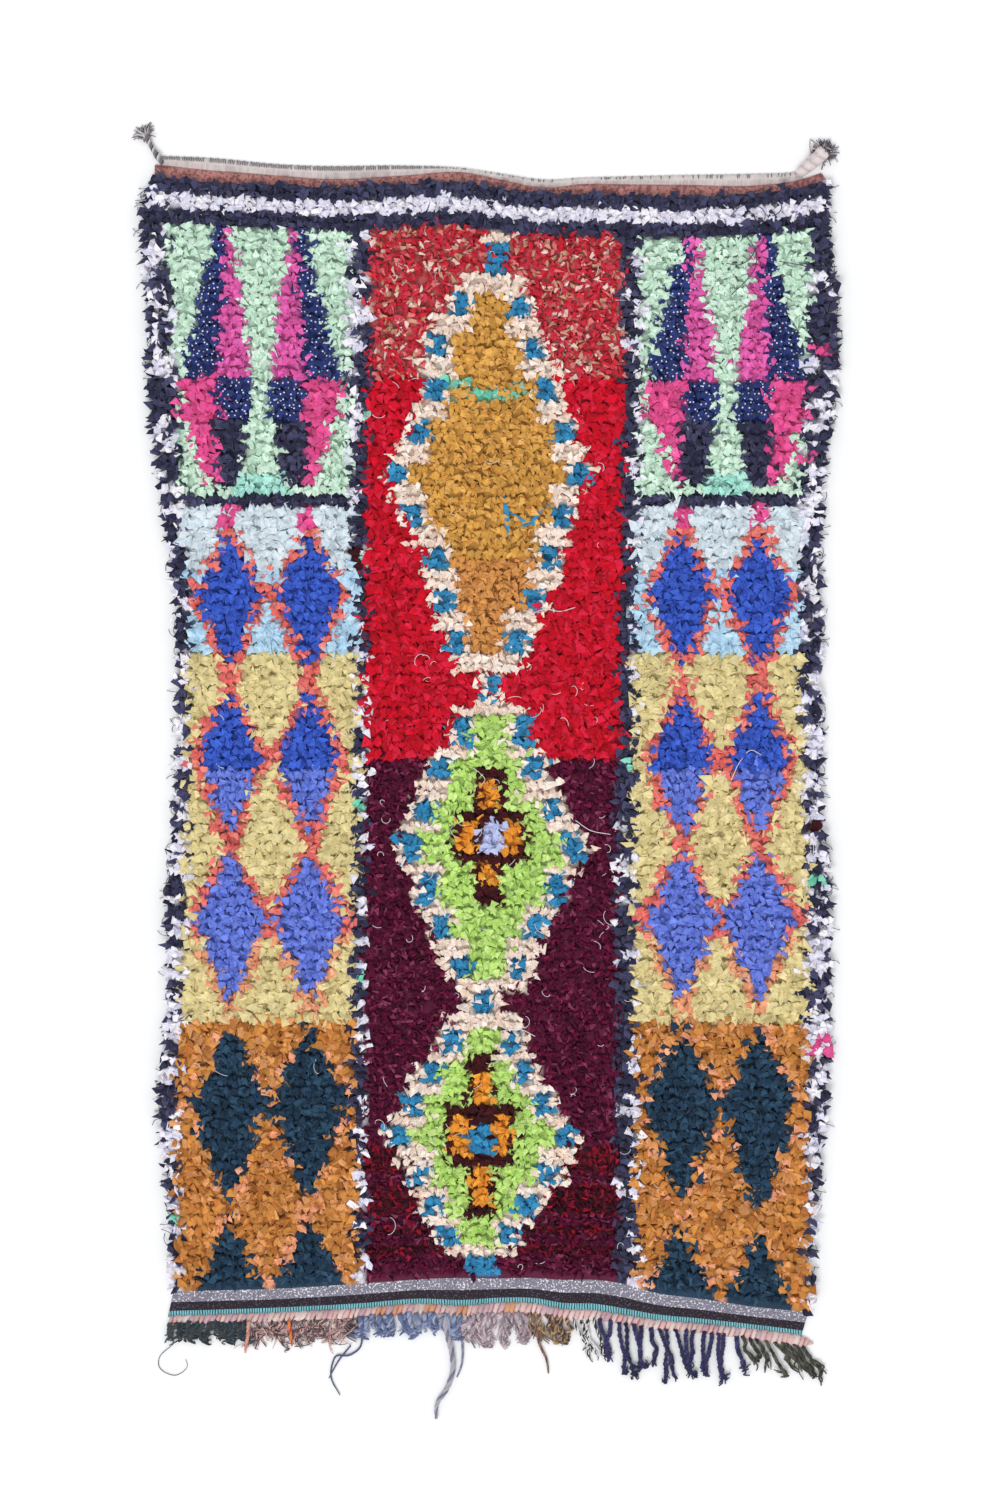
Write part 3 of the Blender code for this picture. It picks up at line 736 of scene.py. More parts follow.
class Nodes:
    """A material's node tree, with short ways to add and link nodes."""

    def __init__(self, name: str) -> None:
        """A new material with its shader at hand."""
        self.material = bpy.data.materials.new(name)
        self.material.use_nodes = True
        self.tree = self.material.node_tree
        self.shader = self.tree.nodes["Principled BSDF"]
        self.place = self.add("ShaderNodeTexCoord").outputs["Object"]

    def painted(self) -> bpy.types.NodeSocket:
        """The colour painted on the piece."""
        return self.add("ShaderNodeAttribute", attribute_name="rag").outputs["Color"]

    def plain(self, colour: Array) -> bpy.types.NodeSocket:
        """One linear colour all over."""
        node = self.add("ShaderNodeRGB")
        node.outputs[0].default_value = (*colour, 1)
        return node.outputs[0]

    def marked(self, colour: bpy.types.NodeSocket, marks: bpy.types.NodeSocket, mark: Array
               ) -> bpy.types.NodeSocket:
        """A colour with marks of another linear colour where `marks` is 1."""
        mix = self.add("ShaderNodeMix", data_type="RGBA")
        self.link(marks, mix, 0)
        self.link(colour, mix, 6)
        mix.inputs[7].default_value = (*mark, 1)
        return mix.outputs[2]

    def bands(self, direction: str, width: float, uneven: float) -> bpy.types.NodeSocket:
        """Bands of a width, in metres, across an axis."""
        node = self.add("ShaderNodeTexWave", bands_direction=direction, Scale=math.pi / 10 / width,
                        Distortion=uneven)
        return self.link(self.place, node, "Vector").outputs["Fac"]

    def add(self, kind: str, **values: object) -> bpy.types.Node:
        """A new node, with its attributes set, or its inputs where it has an input of that name.

        Args:
            kind: Blender's name for the node.
            values: attributes and inputs; spaces in an input's name are written as underscores.

        Returns:
            The node.
        """
        node = self.tree.nodes.new(kind)
        for key, value in values.items():
            socket = node.inputs.get(key.replace("_", " "))
            if socket is None:
                setattr(node, key, value)
            else:
                socket.default_value = value
        return node

    def link(self, source: bpy.types.NodeSocket, node: bpy.types.Node, name: str | int) -> bpy.types.Node:
        """Link a socket to a node's input, and give the node back."""
        self.tree.links.new(source, node.inputs[name])
        return node

    def math(self, operation: str, a: bpy.types.NodeSocket, b: float) -> bpy.types.NodeSocket:
        """The result of one sum on a socket and a number."""
        node = self.link(a, self.add("ShaderNodeMath", operation=operation), 0)
        node.inputs[1].default_value = b
        return node.outputs[0]

    def noise(self, scale: float, detail: float = 3.0, rough: float = 0.6) -> bpy.types.NodeSocket:
        """Noise on the object's own place."""
        node = self.add("ShaderNodeTexNoise", Scale=scale, Detail=detail, Roughness=rough)
        return self.link(self.place, node, "Vector").outputs["Fac"]

    def shade(self, colour: bpy.types.NodeSocket, by: bpy.types.NodeSocket, low: float, high: float
              ) -> bpy.types.NodeSocket:
        """A colour made darker or lighter by a share that runs from `low` to `high`.

        Args:
            colour: the colour.
            by: a number from 0 to 1.
            low: factor where it is 0.3.
            high: factor where it is 0.7.

        Returns:
            The shaded colour.
        """
        span = self.add("ShaderNodeMapRange", From_Min=0.3, From_Max=0.7, To_Min=low, To_Max=high)
        self.link(by, span, "Value")
        scale = self.add("ShaderNodeVectorMath", operation="SCALE")
        self.link(colour, scale, 0)
        return self.link(span.outputs[0], scale, "Scale").outputs[0]

    def bump(self, height: bpy.types.NodeSocket, distance: float, strength: float = 0.6) -> None:
        """Fine relief of a height, in metres, on the shader's normal."""
        node = self.add("ShaderNodeBump", Strength=strength, Distance=distance)
        self.link(height, node, "Height")
        self.link(node.outputs["Normal"], self.shader, "Normal")

    def finish(self, colour: bpy.types.NodeSocket, roughness: float, sheen: float) -> bpy.types.Material:
        """Set the shader's colour and its matt cloth gloss, and give the material."""
        self.link(colour, self.shader, "Base Color")
        self.shader.inputs["Roughness"].default_value = roughness
        self.shader.inputs["Specular IOR Level"].default_value = 0.18
        self.shader.inputs["Sheen Weight"].default_value = sheen
        self.shader.inputs["Sheen Roughness"].default_value = 0.55
        return self.material


@dataclass(frozen=True)
class RagCloth:
    """Finish of a torn rag: its leaf's colour with the painted shade it carries, uneven dye, painted shade in
    the hollows of the crease noise, a fine weave, and any pin dots.
    """

    style: RagStyle
    weave: float = 900.0
    dye: float = 60.0
    crease: float = 170.0
    crease_depth: float = 4.0
    dot_scale: float = 92.0
    dot_radius: float = 0.15
    white: tuple[float, float, float] = (0.80, 0.80, 0.86)

    def material(self) -> bpy.types.Material:
        """The finish as a Blender material."""
        nodes = Nodes(f"rag_{self.style.name}")
        colour = nodes.shade(nodes.painted(), nodes.noise(self.dye), 0.90, 1.08)
        if self.style.dotted:
            cells = nodes.add("ShaderNodeTexVoronoi", Scale=self.dot_scale, Randomness=0.8,
                              voronoi_dimensions="2D")
            nodes.link(nodes.place, cells, "Vector")
            dot = nodes.math("LESS_THAN", cells.outputs["Distance"], self.dot_radius)
            colour = nodes.marked(colour, dot, self.white)
        grain = nodes.noise(self.weave, 2.0)
        creases = nodes.noise(self.crease, 3.0)
        relief = nodes.link(creases, nodes.add("ShaderNodeMath", operation="MULTIPLY_ADD"), 0)
        relief.inputs[1].default_value = self.crease_depth
        relief = nodes.link(grain, relief, 2).outputs[0]
        # Painted shade: the colour is darkened to 0.90 where the crease noise is low and lightened to 1.08
        # where it is high, as the creases' shade and light.
        colour = nodes.shade(colour, creases, 0.90, 1.08)
        nodes.bump(relief, 0.0007 if self.style.cut is not Cut.WOOL else 0.0012, 0.8)
        return nodes.finish(nodes.shade(colour, grain, 0.94, 1.05), self.style.roughness, self.style.sheen)


def mesh_piece(name: str, points: Array, faces: Array, materials: tuple, slots: Array | None = None,
               smooth_faces: bool = True) -> bpy.types.Object:
    """A closed mesh piece from arrays, at the origin.

    Args:
        name: the piece's name.
        points: N by 3 places.
        faces: M by 4 corners.
        materials: the piece's materials.
        slots: which material each face has.
        smooth_faces: false where creased cloth keeps its facets.

    Returns:
        The new object.
    """
    mesh = bpy.data.meshes.new(name)
    mesh.vertices.add(len(points))
    mesh.vertices.foreach_set("co", np.ascontiguousarray(points, np.float32).ravel())
    mesh.loops.add(faces.size)
    mesh.loops.foreach_set("vertex_index", np.ascontiguousarray(faces, np.int32).ravel())
    mesh.polygons.add(len(faces))
    mesh.polygons.foreach_set("loop_start", np.arange(0, faces.size, faces.shape[1], dtype=np.int32))
    mesh.polygons.foreach_set("use_smooth", np.full(len(faces), smooth_faces))
    for material in materials:
        mesh.materials.append(material)
    if slots is not None:
        mesh.polygons.foreach_set("material_index", np.ascontiguousarray(slots, np.int32))
    mesh.update(calc_edges=True)
    piece = bpy.data.objects.new(name, mesh)
    bpy.context.collection.objects.link(piece)
    return piece


def paint(piece: bpy.types.Object, colours: Array) -> None:
    """Store a colour for each point as the attribute that the finishes read."""
    attribute = piece.data.attributes.new("rag", "FLOAT_COLOR", "POINT")
    rgba = np.ones((len(colours), 4), np.float32)
    rgba[:, :3] = colours
    attribute.data.foreach_set("color", rgba.ravel())


def unwrap(piece: bpy.types.Object, uv: Array) -> None:
    """Store the place on the baked picture of each face corner."""
    layer = piece.data.uv_layers.new(name="OFBake")
    layer.data.foreach_set("uv", np.ascontiguousarray(uv, np.float32).ravel())


def declare(piece: bpy.types.Object, slot: str, *nodes: str) -> bpy.types.Object:
    """Attach a piece to the body it rides on, hide the CAD nodes it stands for, and log its face count."""
    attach(piece, BODY)
    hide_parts(*nodes)
    LOG.info("%s: %d faces", piece.name, len(piece.data.polygons))
    return piece


def inside_out(points: Array, faces: Array) -> bool:
    """Whether faces point inwards: where the summed volume of corner tetrahedra is not above zero."""
    a, b, c = (points[faces[:, i]] for i in range(3))
    return bool(np.einsum("ij,ij->", a - points[0], np.cross(b - points[0], c - points[0])) <= 0)


def grid_cells(count: int, cell: Array) -> Array:
    """One cell of a square grid on the baked picture for each of many like shapes.

    Args:
        count: how many shapes.
        cell: one shape's face corners in a unit square.

    Returns:
        Places of all face corners.
    """
    columns = math.ceil(math.sqrt(count))
    corner = np.stack([np.arange(count) % columns, np.arange(count) // columns], -1)[:, None, None, :]
    return ((cell[None] + corner) / columns).reshape(-1, 2)


@dataclass
class Leaves:
    """Rag ends to build: where each is tied, where it points, its sizes and its colour."""

    x: Array
    y: Array
    z: Array
    heading: Array
    length: Array
    width: Array
    height: Array
    fold: Array
    tip: Array
    colour: Array
    reach: float = 0.62
    rings: tuple[float, ...] = (0.0, 0.52, 1.0)
    crumple: float = 0.0018
    ceiling: float = 0.0385

    def points(self, rng: np.random.Generator) -> Array:
        """Three points round each ring of each leaf.

        The middle line reaches out as the 1.3th power of the share s along it and rises as sin(0.62 pi s).
        A ring is a folded strip: left edge, ridge, right edge. It is twisted about the line, its points are
        crumpled a little, and the tip is cut on a slant.

        Args:
            rng: draws each leaf's twist, slant, bend and crumples.

        Returns:
            An array of leaf, ring, corner and axis.
        """
        n = len(self.x)
        s = np.array(self.rings)[None, :]
        twist = rng.normal(0, 0.42, n)[:, None] * (0.4 + s)
        slant = rng.uniform(-0.34, 0.34, n)
        bend = rng.normal(0, 0.35, n)[:, None] * s
        lift = rng.uniform(0.50, 0.70, n)[:, None] * np.pi
        angle = self.heading[:, None] + bend
        reach = self.length[:, None] * self.reach * s ** 1.3
        along = np.stack([np.cos(angle), np.sin(angle)], -1)
        side = np.stack([-np.sin(angle), np.cos(angle), np.zeros_like(angle)], -1)
        rise = self.height[:, None] * np.sin(lift * s)
        middle = np.stack([self.x[:, None] + reach * along[..., 0], self.y[:, None] + reach * along[..., 1],
                           self.z[:, None] + rise], -1)
        gain = self.height[:, None] * np.cos(lift * s) * lift
        slope = np.arctan2(gain, self.length[:, None] * (0.2 + 0.8 * s))
        up = np.concatenate([-np.sin(slope)[..., None] * along, np.cos(slope)[..., None]], -1)
        forward = np.concatenate([np.cos(slope)[..., None] * along, np.sin(slope)[..., None]], -1)
        turned_side = side * np.cos(twist)[..., None] + up * np.sin(twist)[..., None]
        turned_up = up * np.cos(twist)[..., None] - side * np.sin(twist)[..., None]
        half = 0.5 * self.width[:, None] * np.where(s >= 1, self.tip[:, None], np.where(s > 0, 1.0, 0.45))
        fold = self.fold[:, None] * np.where(s >= 1, 0.45, 1.0)
        cut = np.where(s >= 1, slant[:, None] * self.length[:, None], 0.0)
        crumple = rng.normal(0, self.crumple, (3, n, len(self.rings))) * np.minimum(1, 2 * s)
        left = middle + turned_side * half[..., None] + forward * cut[..., None]
        right = middle - turned_side * half[..., None] - forward * cut[..., None]
        left = left + turned_up * crumple[0][..., None]
        right = right + turned_up * crumple[1][..., None]
        ridge = middle + turned_up * fold[..., None] + turned_side * (crumple[2] * 1.6)[..., None]
        points = np.stack([left, ridge, right], 2)
        points[..., 2] = points[..., 2].clip(0.0008, self.ceiling)
        return points

    def build(self, name: str, material: bpy.types.Material, rng: np.random.Generator) -> bpy.types.Object:
        """All leaves as one closed mesh, with their colours, which carry painted shade and a painted
        highlight, and their places on the baked picture.

        Args:
            name: the piece's name.
            material: its finish.
            rng: draws the leaves' shapes.

        Returns:
            The new object.
        """
        points = self.points(rng)
        n, rings = points.shape[:2]
        ring, corner = np.arange(rings - 1)[:, None] * 3, np.arange(3)
        a, b, c, d = np.broadcast_arrays(ring + corner, ring + 3 + corner, ring + 3 + (corner + 1) % 3,
                                         ring + (corner + 1) % 3)
        sides = np.stack([np.stack([a, b, c], -1), np.stack([a, c, d], -1)], 2).reshape(-1, 3)
        last = (rings - 1) * 3
        one = np.concatenate([sides, [[0, 1, 2], [last + 2, last + 1, last]]])
        flat = points.reshape(-1, 3)
        flipped = inside_out(flat[:rings * 3], one)
        first = one[:, ::-1] if flipped else one
        faces = (np.arange(n)[:, None, None] * rings * 3 + first).reshape(-1, 3)
        piece = mesh_piece(name, flat, faces, (material,), smooth_faces=False)
        share = np.array(self.rings)
        # Painted shade: each leaf's colour darkens from 1 at its tip to 0.80 at its root. Its two edges are
        # painted 0.93 as bright, and its raised ridge 1.07 as bright, a painted highlight on the fold.
        shade = (0.80 + 0.20 * np.minimum(1, share * 1.8))[None, :, None, None]
        edge = np.array([0.93, 1.07, 0.93])[None, None, :, None]
        paint(piece, (self.colour[:, None, None, :] * shade * edge).reshape(-1, 3))
        cell = self.cell(rings)
        unwrap(piece, grid_cells(n, cell[:, ::-1] if flipped else cell))
        return piece

    def cell(self, rings: int) -> Array:
        """Places of one leaf's face corners in a unit square: three sides side by side over its two ends."""
        u, v = np.meshgrid(np.arange(3) / 3, np.arange(rings - 1) / (rings - 1))
        du, dv = 1 / 3, 1 / (rings - 1)
        a, b, c, d = (np.stack(pair, -1) for pair in ((u, v), (u, v + dv), (u + du, v + dv), (u + du, v)))
        sides = np.stack([np.stack([a, b, c], -2), np.stack([a, c, d], -2)], 2).reshape(-1, 3, 2)
        sides = sides * (1, 0.82) + (0, 0.18)
        caps = np.array([[[0.02, 0.02], [0.20, 0.14], [0.40, 0.02]],
                         [[0.55, 0.02], [0.75, 0.14], [0.95, 0.02]]])
        return np.concatenate([sides, caps]) * 0.92 + 0.04


@dataclass
class RagPile:
    """The knotted pile: rows of knots across the cloth, each with a few rag ends that lean to the foot."""

    cloth: ClothFrame
    pattern: Pattern
    knot_step: float = 0.0108
    band_row: float = 0.0138
    band_rows: int = 6
    first_row: float = 0.006
    last_row: float = 0.013
    root: float = 0.0044
    lean_back: float = 0.003
    row_length: float = 1.30
    uneven_across: float = 0.14
    uneven_along: float = 0.0022
    uneven_colour: float = 0.0012
    uneven_size: float = 0.18
    uneven_width: float = 0.22
    uneven_root: tuple[float, float] = (0.0010, 0.0024)
    fan: float = 0.42
    seed: int = 11

    def knots(self) -> tuple[Array, Array, Array]:
        """Every knot of the pile, staggered by rows.

        Returns:
            Its x, its real y, and its y as the pattern is charted.
        """
        rng = np.random.default_rng(self.seed)
        top, foot = self.cloth.levels()
        band = top - self.first_row - self.band_row * np.arange(self.band_rows)
        field = np.arange(band[-1] - KNOT_ROW, foot + self.last_row, -KNOT_ROW)
        levels = np.concatenate([band, field])
        count = int(self.row_length / self.knot_step)
        odd = np.arange(len(levels))[:, None] % 2
        share = (np.arange(count)[None, :] + 0.5 + 0.5 * odd) / (count + 0.5)
        level = np.repeat(levels[:, None], count, 1)
        share = share + rng.normal(0, self.uneven_across / count, share.shape)
        left, right = self.cloth.side("left", level), self.cloth.side("right", level)
        x = left + (right - left) * share
        y = self.cloth.waved(x, level) + rng.normal(0, self.uneven_along, x.shape)
        return x.ravel(), y.ravel(), level.ravel()

    def build(self) -> None:
        """Tie every knot and build one piece for each rag."""
        x, y, level = self.knots()
        rng = np.random.default_rng(self.seed + 1)
        stray = rng.normal(0, self.uneven_colour, x.shape)
        rags = self.pattern.rag_at(x + stray, level - 0.001)
        for rag, style in STYLES.items():
            shape = SHAPES[style.cut]
            here = np.flatnonzero(rags == rag)
            if not len(here):
                continue
            leaves = self.leaves(x[here], y[here], style, shape, rng)
            piece = leaves.build(f"pile_{style.name}", RagCloth(style).material(), rng)
            declare(piece, "rag_pile", "rug")

    def leaves(self, x: Array, y: Array, style: RagStyle, shape: Shape, rng: np.random.Generator) -> Leaves:
        """The rag ends of some knots, fanned out round the lean of the pile.

        Args:
            x: the knots' places across.
            y: the knots' places along.
            style: the rag.
            shape: the sizes of its cut.
            rng: draws the spread.

        Returns:
            The leaves.
        """
        k = shape.leaves
        n = len(x) * k
        heading = -np.pi / 2 + rng.normal(0, shape.spread, n)
        size = rng.normal(1, self.uneven_size, n).clip(0.6, 1.5)
        shades = linear(style.colours)
        colour = shades[rng.integers(0, len(shades), n)] * (1 + rng.normal(0, style.vary, n))[:, None]
        side = np.tile(np.linspace(-1, 1, k), len(x)) * self.knot_step * self.fan
        return Leaves(
            x=np.repeat(x, k) + side + rng.normal(0, self.uneven_root[0], n),
            y=np.repeat(y, k) + self.lean_back + rng.normal(0, self.uneven_root[1], n),
            z=np.full(n, self.root),
            heading=heading,
            length=shape.length * size,
            width=shape.width * rng.normal(1, self.uneven_width, n).clip(0.5, 1.6),
            height=shape.height * rng.normal(1, 0.13, n).clip(0.6, 1.28),
            fold=shape.fold * rng.normal(1, 0.40, n).clip(0.3, 2.0),
            tip=shape.tip * rng.normal(1, 0.35, n).clip(0.2, 1.5),
            colour=colour,
            reach=shape.reach,
        )


def slab_faces(rows: int, columns: int) -> Array:
    """Faces of a closed slab whose upper and lower points are two grids of the same size.

    The rows run towards -Y and the columns towards +X. The upper grid comes first, and all faces point
    outwards.

    Args:
        rows: rows of points.
        columns: points in a row.

    Returns:
        The corners of all faces: upper, lower, then the four rims.
    """
    at = np.arange(rows * columns).reshape(rows, columns)
    low = at + rows * columns
    upper = np.stack([at[:-1, :-1], at[1:, :-1], at[1:, 1:], at[:-1, 1:]], -1).reshape(-1, 4)
    lower = (upper + rows * columns)[:, ::-1]
    first = np.stack([at[0, :-1], at[0, 1:], low[0, 1:], low[0, :-1]], -1)
    last = np.stack([at[-1, :-1], low[-1, :-1], low[-1, 1:], at[-1, 1:]], -1)
    left = np.stack([at[:-1, 0], low[:-1, 0], low[1:, 0], at[1:, 0]], -1)
    right = np.stack([at[:-1, -1], at[1:, -1], low[1:, -1], low[:-1, -1]], -1)
    return np.concatenate([upper, lower, first, last, left, right])


def slab_piece(name: str, x: Array, y: Array, z: Array, colours: Array, materials: tuple,
               row_slots: Array | None = None) -> bpy.types.Object:
    """A closed slab from the floor up to a grid of points.

    Args:
        name: the piece's name.
        x: rows by columns of the upper side's places across.
        y: its places along.
        z: its heights.
        colours: rows by columns by 3 linear colours.
        materials: the piece's materials.
        row_slots: the material of each row of faces.

    Returns:
        The new object.
    """
    rows, columns = x.shape
    upper, lower = np.stack([x, y, z], -1), np.stack([x, y, np.zeros_like(x)], -1)
    faces = slab_faces(rows, columns)
    points = np.concatenate([upper.reshape(-1, 3), lower.reshape(-1, 3)])
    slots = None
    if row_slots is not None:
        across = columns - 1
        each = np.repeat(row_slots, across)
        ends = np.concatenate([np.full(across, row_slots[0]), np.full(across, row_slots[-1])])
        slots = np.concatenate([each, each, ends, row_slots, row_slots])
    piece = mesh_piece(name, points, faces, materials, slots)
    paint(piece, np.tile(colours.reshape(-1, 3), (2, 1)))
    grid_u, grid_v = np.meshgrid(np.linspace(0, 1, columns), np.linspace(1, 0.04, rows))
    flat = np.stack([grid_u, grid_v], -1).reshape(-1, 2)
    under = flat * (1, 0.02)
    unwrap(piece, np.concatenate([flat, under])[faces.ravel()])
    return piece


@dataclass(frozen=True)
class FlatWeave:
    """Finish of a flat-woven band: fine ribs of weft over warps with painted shade in their grooves, uneven
    dye, and metallic sparkle.
    """

    name: str
    colour: Colour | None
    rib: float = 0.0021
    warp: float = 0.0034
    dye: float = 30.0
    sheen: float = 0.2
    metal: float = 0.0
    speckle: Colour | None = None
    speckle_share: float = 0.5
    fleck_scale: float = 260.0
    tick: float = 0.0

    def material(self) -> bpy.types.Material:
        """The finish as a Blender material."""
        nodes = Nodes(self.name)
        colour = nodes.painted() if self.colour is None else nodes.plain(linear(self.colour))
        if self.speckle is not None:
            marks = nodes.bands("X", self.tick, 3.0) if self.tick else nodes.noise(self.fleck_scale, 2.0)
            fleck = nodes.math("GREATER_THAN", marks, self.speckle_share)
            colour = nodes.marked(colour, fleck, linear(self.speckle))
        weave = nodes.add("ShaderNodeMath", operation="MULTIPLY")
        nodes.link(nodes.bands("Y", self.rib, 1.2), weave, 0)
        height = nodes.link(nodes.bands("X", self.warp, 1.6), weave, 1).outputs[0]
        colour = nodes.shade(colour, nodes.noise(self.dye), 0.86, 1.12)
        nodes.bump(height, 0.0008)
        nodes.shader.inputs["Metallic"].default_value = self.metal
        # Painted shade: the colour falls to 0.80 where the weave's relief is low, in the grooves between
        # ribs.
        return nodes.finish(nodes.shade(colour, height, 0.80, 1.06), 0.85 - 0.45 * self.metal, self.sheen)


@dataclass
class GroundCloth:
    """The cloth that carries the knots, with a flat band above the pile and three below it."""

    cloth: ClothFrame
    pattern: Pattern
    columns: int = 112
    pile_rows: int = 212
    bed: float = 0.0150
    end_rows: int = 3
    share_lurex: float = 0.42
    share_dark: float = 0.76
    # Painted shade under the pile, as a share of each rag's colour.
    painted_pile_shade: float = 0.95
    rise: float = 0.0006
    flat: tuple[float, float] = (1.330, 2.300)

    def rows(self) -> tuple[Array, Array, Array, Array]:
        """All rows of points from the heading to the braid.

        Returns:
            Their x and y, the charted y, and the material of each row of faces.
        """
        share = np.linspace(0, 1, self.columns)
        top, foot = self.cloth.levels()
        xs, ys, levels, slots = [], [], [], []
        for t in np.linspace(0, 1, self.end_rows + 1)[:-1]:
            x = self.across(share, top, self.cloth.top_span, t)
            start, end = self.cloth.top_edge("heading_foot", x), self.cloth.top_edge("pile_top", x)
            xs.append(x)
            ys.append(start + (end - start) * t - 0.0004)
            levels.append(np.full(share.shape, top))
            slots.append(1)
        for level in np.linspace(top, foot, self.pile_rows):
            x = self.across(share, level, (0, 0), 1.0)
            xs.append(x)
            ys.append(self.cloth.waved(x, np.full(share.shape, level)))
            levels.append(np.full(share.shape, level))
            slots.append(0)
        bands = (0.15, 0.30, self.share_lurex, 0.58, self.share_dark, 1.0)
        for t, slot in zip(bands, (2, 2, 3, 3, 4, 4)):
            x = self.across(share, foot, self.cloth.foot_span, 1 - t)
            start, end = self.cloth.foot_edge("pile_foot", x), self.cloth.foot_edge("cloth_foot", x)
            xs.append(x)
            ys.append(start + (end + 0.0004 - start) * t)
            levels.append(np.full(share.shape, foot))
            slots.append(slot)
        slots[self.end_rows + self.pile_rows - 1] = 2
        return np.array(xs), np.array(ys), np.array(levels), np.array(slots[:-1])

    def across(self, share: Array, level: float, span: tuple[float, float], t: float) -> Array:
        """X of a row's points: t of the way from an end's own span to the pile's edges."""
        y = np.full(share.shape, level)
        left = span[0] + (self.cloth.side("left", y) - span[0]) * t
        right = span[1] + (self.cloth.side("right", y) - span[1]) * t
        return left + (right - left) * share

    def build(self) -> None:
        x, y, level, slots = self.rows()
        z = np.full(x.shape, self.cloth.cloth_thick) + self.rise * np.sin(x * 41) * np.sin(y * 37)
        rng = np.random.default_rng(5)
        knotted = np.zeros(x.shape)
        knotted[self.end_rows + 1:self.end_rows + self.pile_rows - 1, 1:-1] = 1.0
        z = z + knotted * self.bed * rng.uniform(0.35, 1.0, x.shape)
        rags = self.pattern.rag_at(x, level)
        tints = np.array([linear(STYLES[rag].colours).mean(axis=0) for rag in Rag])
        # Painted shade: the bed under the pile is each rag's mean colour made 0.95 as bright, for the shade
        # that the pile casts on it.
        colours = tints[rags] * self.painted_pile_shade
        finishes = (
            FlatWeave("ground_weave", None),
            FlatWeave("terracotta_weave", (204, 142, 134), speckle=(158, 98, 98), speckle_share=0.52,
                      fleck_scale=150.0),
            FlatWeave("lurex_weave", (146, 142, 160), metal=0.15, speckle=(255, 255, 255),
                      speckle_share=0.585),
            FlatWeave("brown_black_weave", (46, 36, 46), speckle=(92, 86, 102), speckle_share=0.60),
            FlatWeave("turquoise_weave", (134, 204, 212), speckle=(30, 66, 82), speckle_share=0.68,
                      tick=0.0052),
        )
        piece = slab_piece("ground_cloth", x, y, z, colours, tuple(f.material() for f in finishes), slots)
        declare(piece, "flat_weave", "rug")


@dataclass
class TwinedHeading:
    """The cream heading along the top: two twined ridges of slanted stitches, flecked along the free edge."""

    cloth: ClothFrame
    columns: int = 1100
    rows: int = 8
    stitch: float = 0.0034
    base: float = 0.0040
    relief: float = 0.0034
    cream: Colour = (236, 226, 222)
    rose: Colour = (220, 200, 198)
    fleck: Colour = (96, 90, 98)
    plain_from: float = -0.10
    flecked_left: float = 0.90
    flecked_right: float = 0.30
    slant: float = 0.9

    def build(self) -> None:
        """Twine it: height is the base and two ridges, each times a wave that runs on a slant."""
        x, v = np.meshgrid(np.linspace(*self.cloth.heading_span, self.columns), np.linspace(0, 1, self.rows))
        start = self.cloth.top_edge("heading_top", x)
        end = self.cloth.top_edge("heading_foot", x)
        y = start + (end - start) * v + 0.0006 * np.sin(x * 470 + v * 5) * (1 - v)
        turn = x / self.stitch + self.slant * v
        wave = np.sin(2 * np.pi * turn)
        ridges = np.exp(-(((v - 0.20) / 0.16) ** 2)) + 0.8 * np.exp(-(((v - 0.68) / 0.20) ** 2))
        z = self.base * (0.55 + 0.45 * np.sin(np.pi * np.clip(v, 0.04, 0.96)))
        z = z + self.relief * ridges * (0.70 + 0.30 * wave)
        index = np.floor(turn)
        flecked = np.where(x < self.plain_from, self.flecked_left, self.flecked_right)
        dark = (scatter(index, np.zeros_like(index), 3) < flecked) & (v < 0.34) & (wave < 0.45)
        rosy = scatter(index, np.ones_like(index), 4)[..., None] * (v > 0.45)[..., None]
        colours = linear(self.cream) + (linear(self.rose) - linear(self.cream)) * rosy
        colours = np.where(dark[..., None], linear(self.fleck), colours)
        material = FlatWeave("twined_cream", None, rib=0.0016, warp=0.0016).material()
        declare(slab_piece("twined_heading", x, y, z, colours, (material,)), "cream_warp", "top_heading")


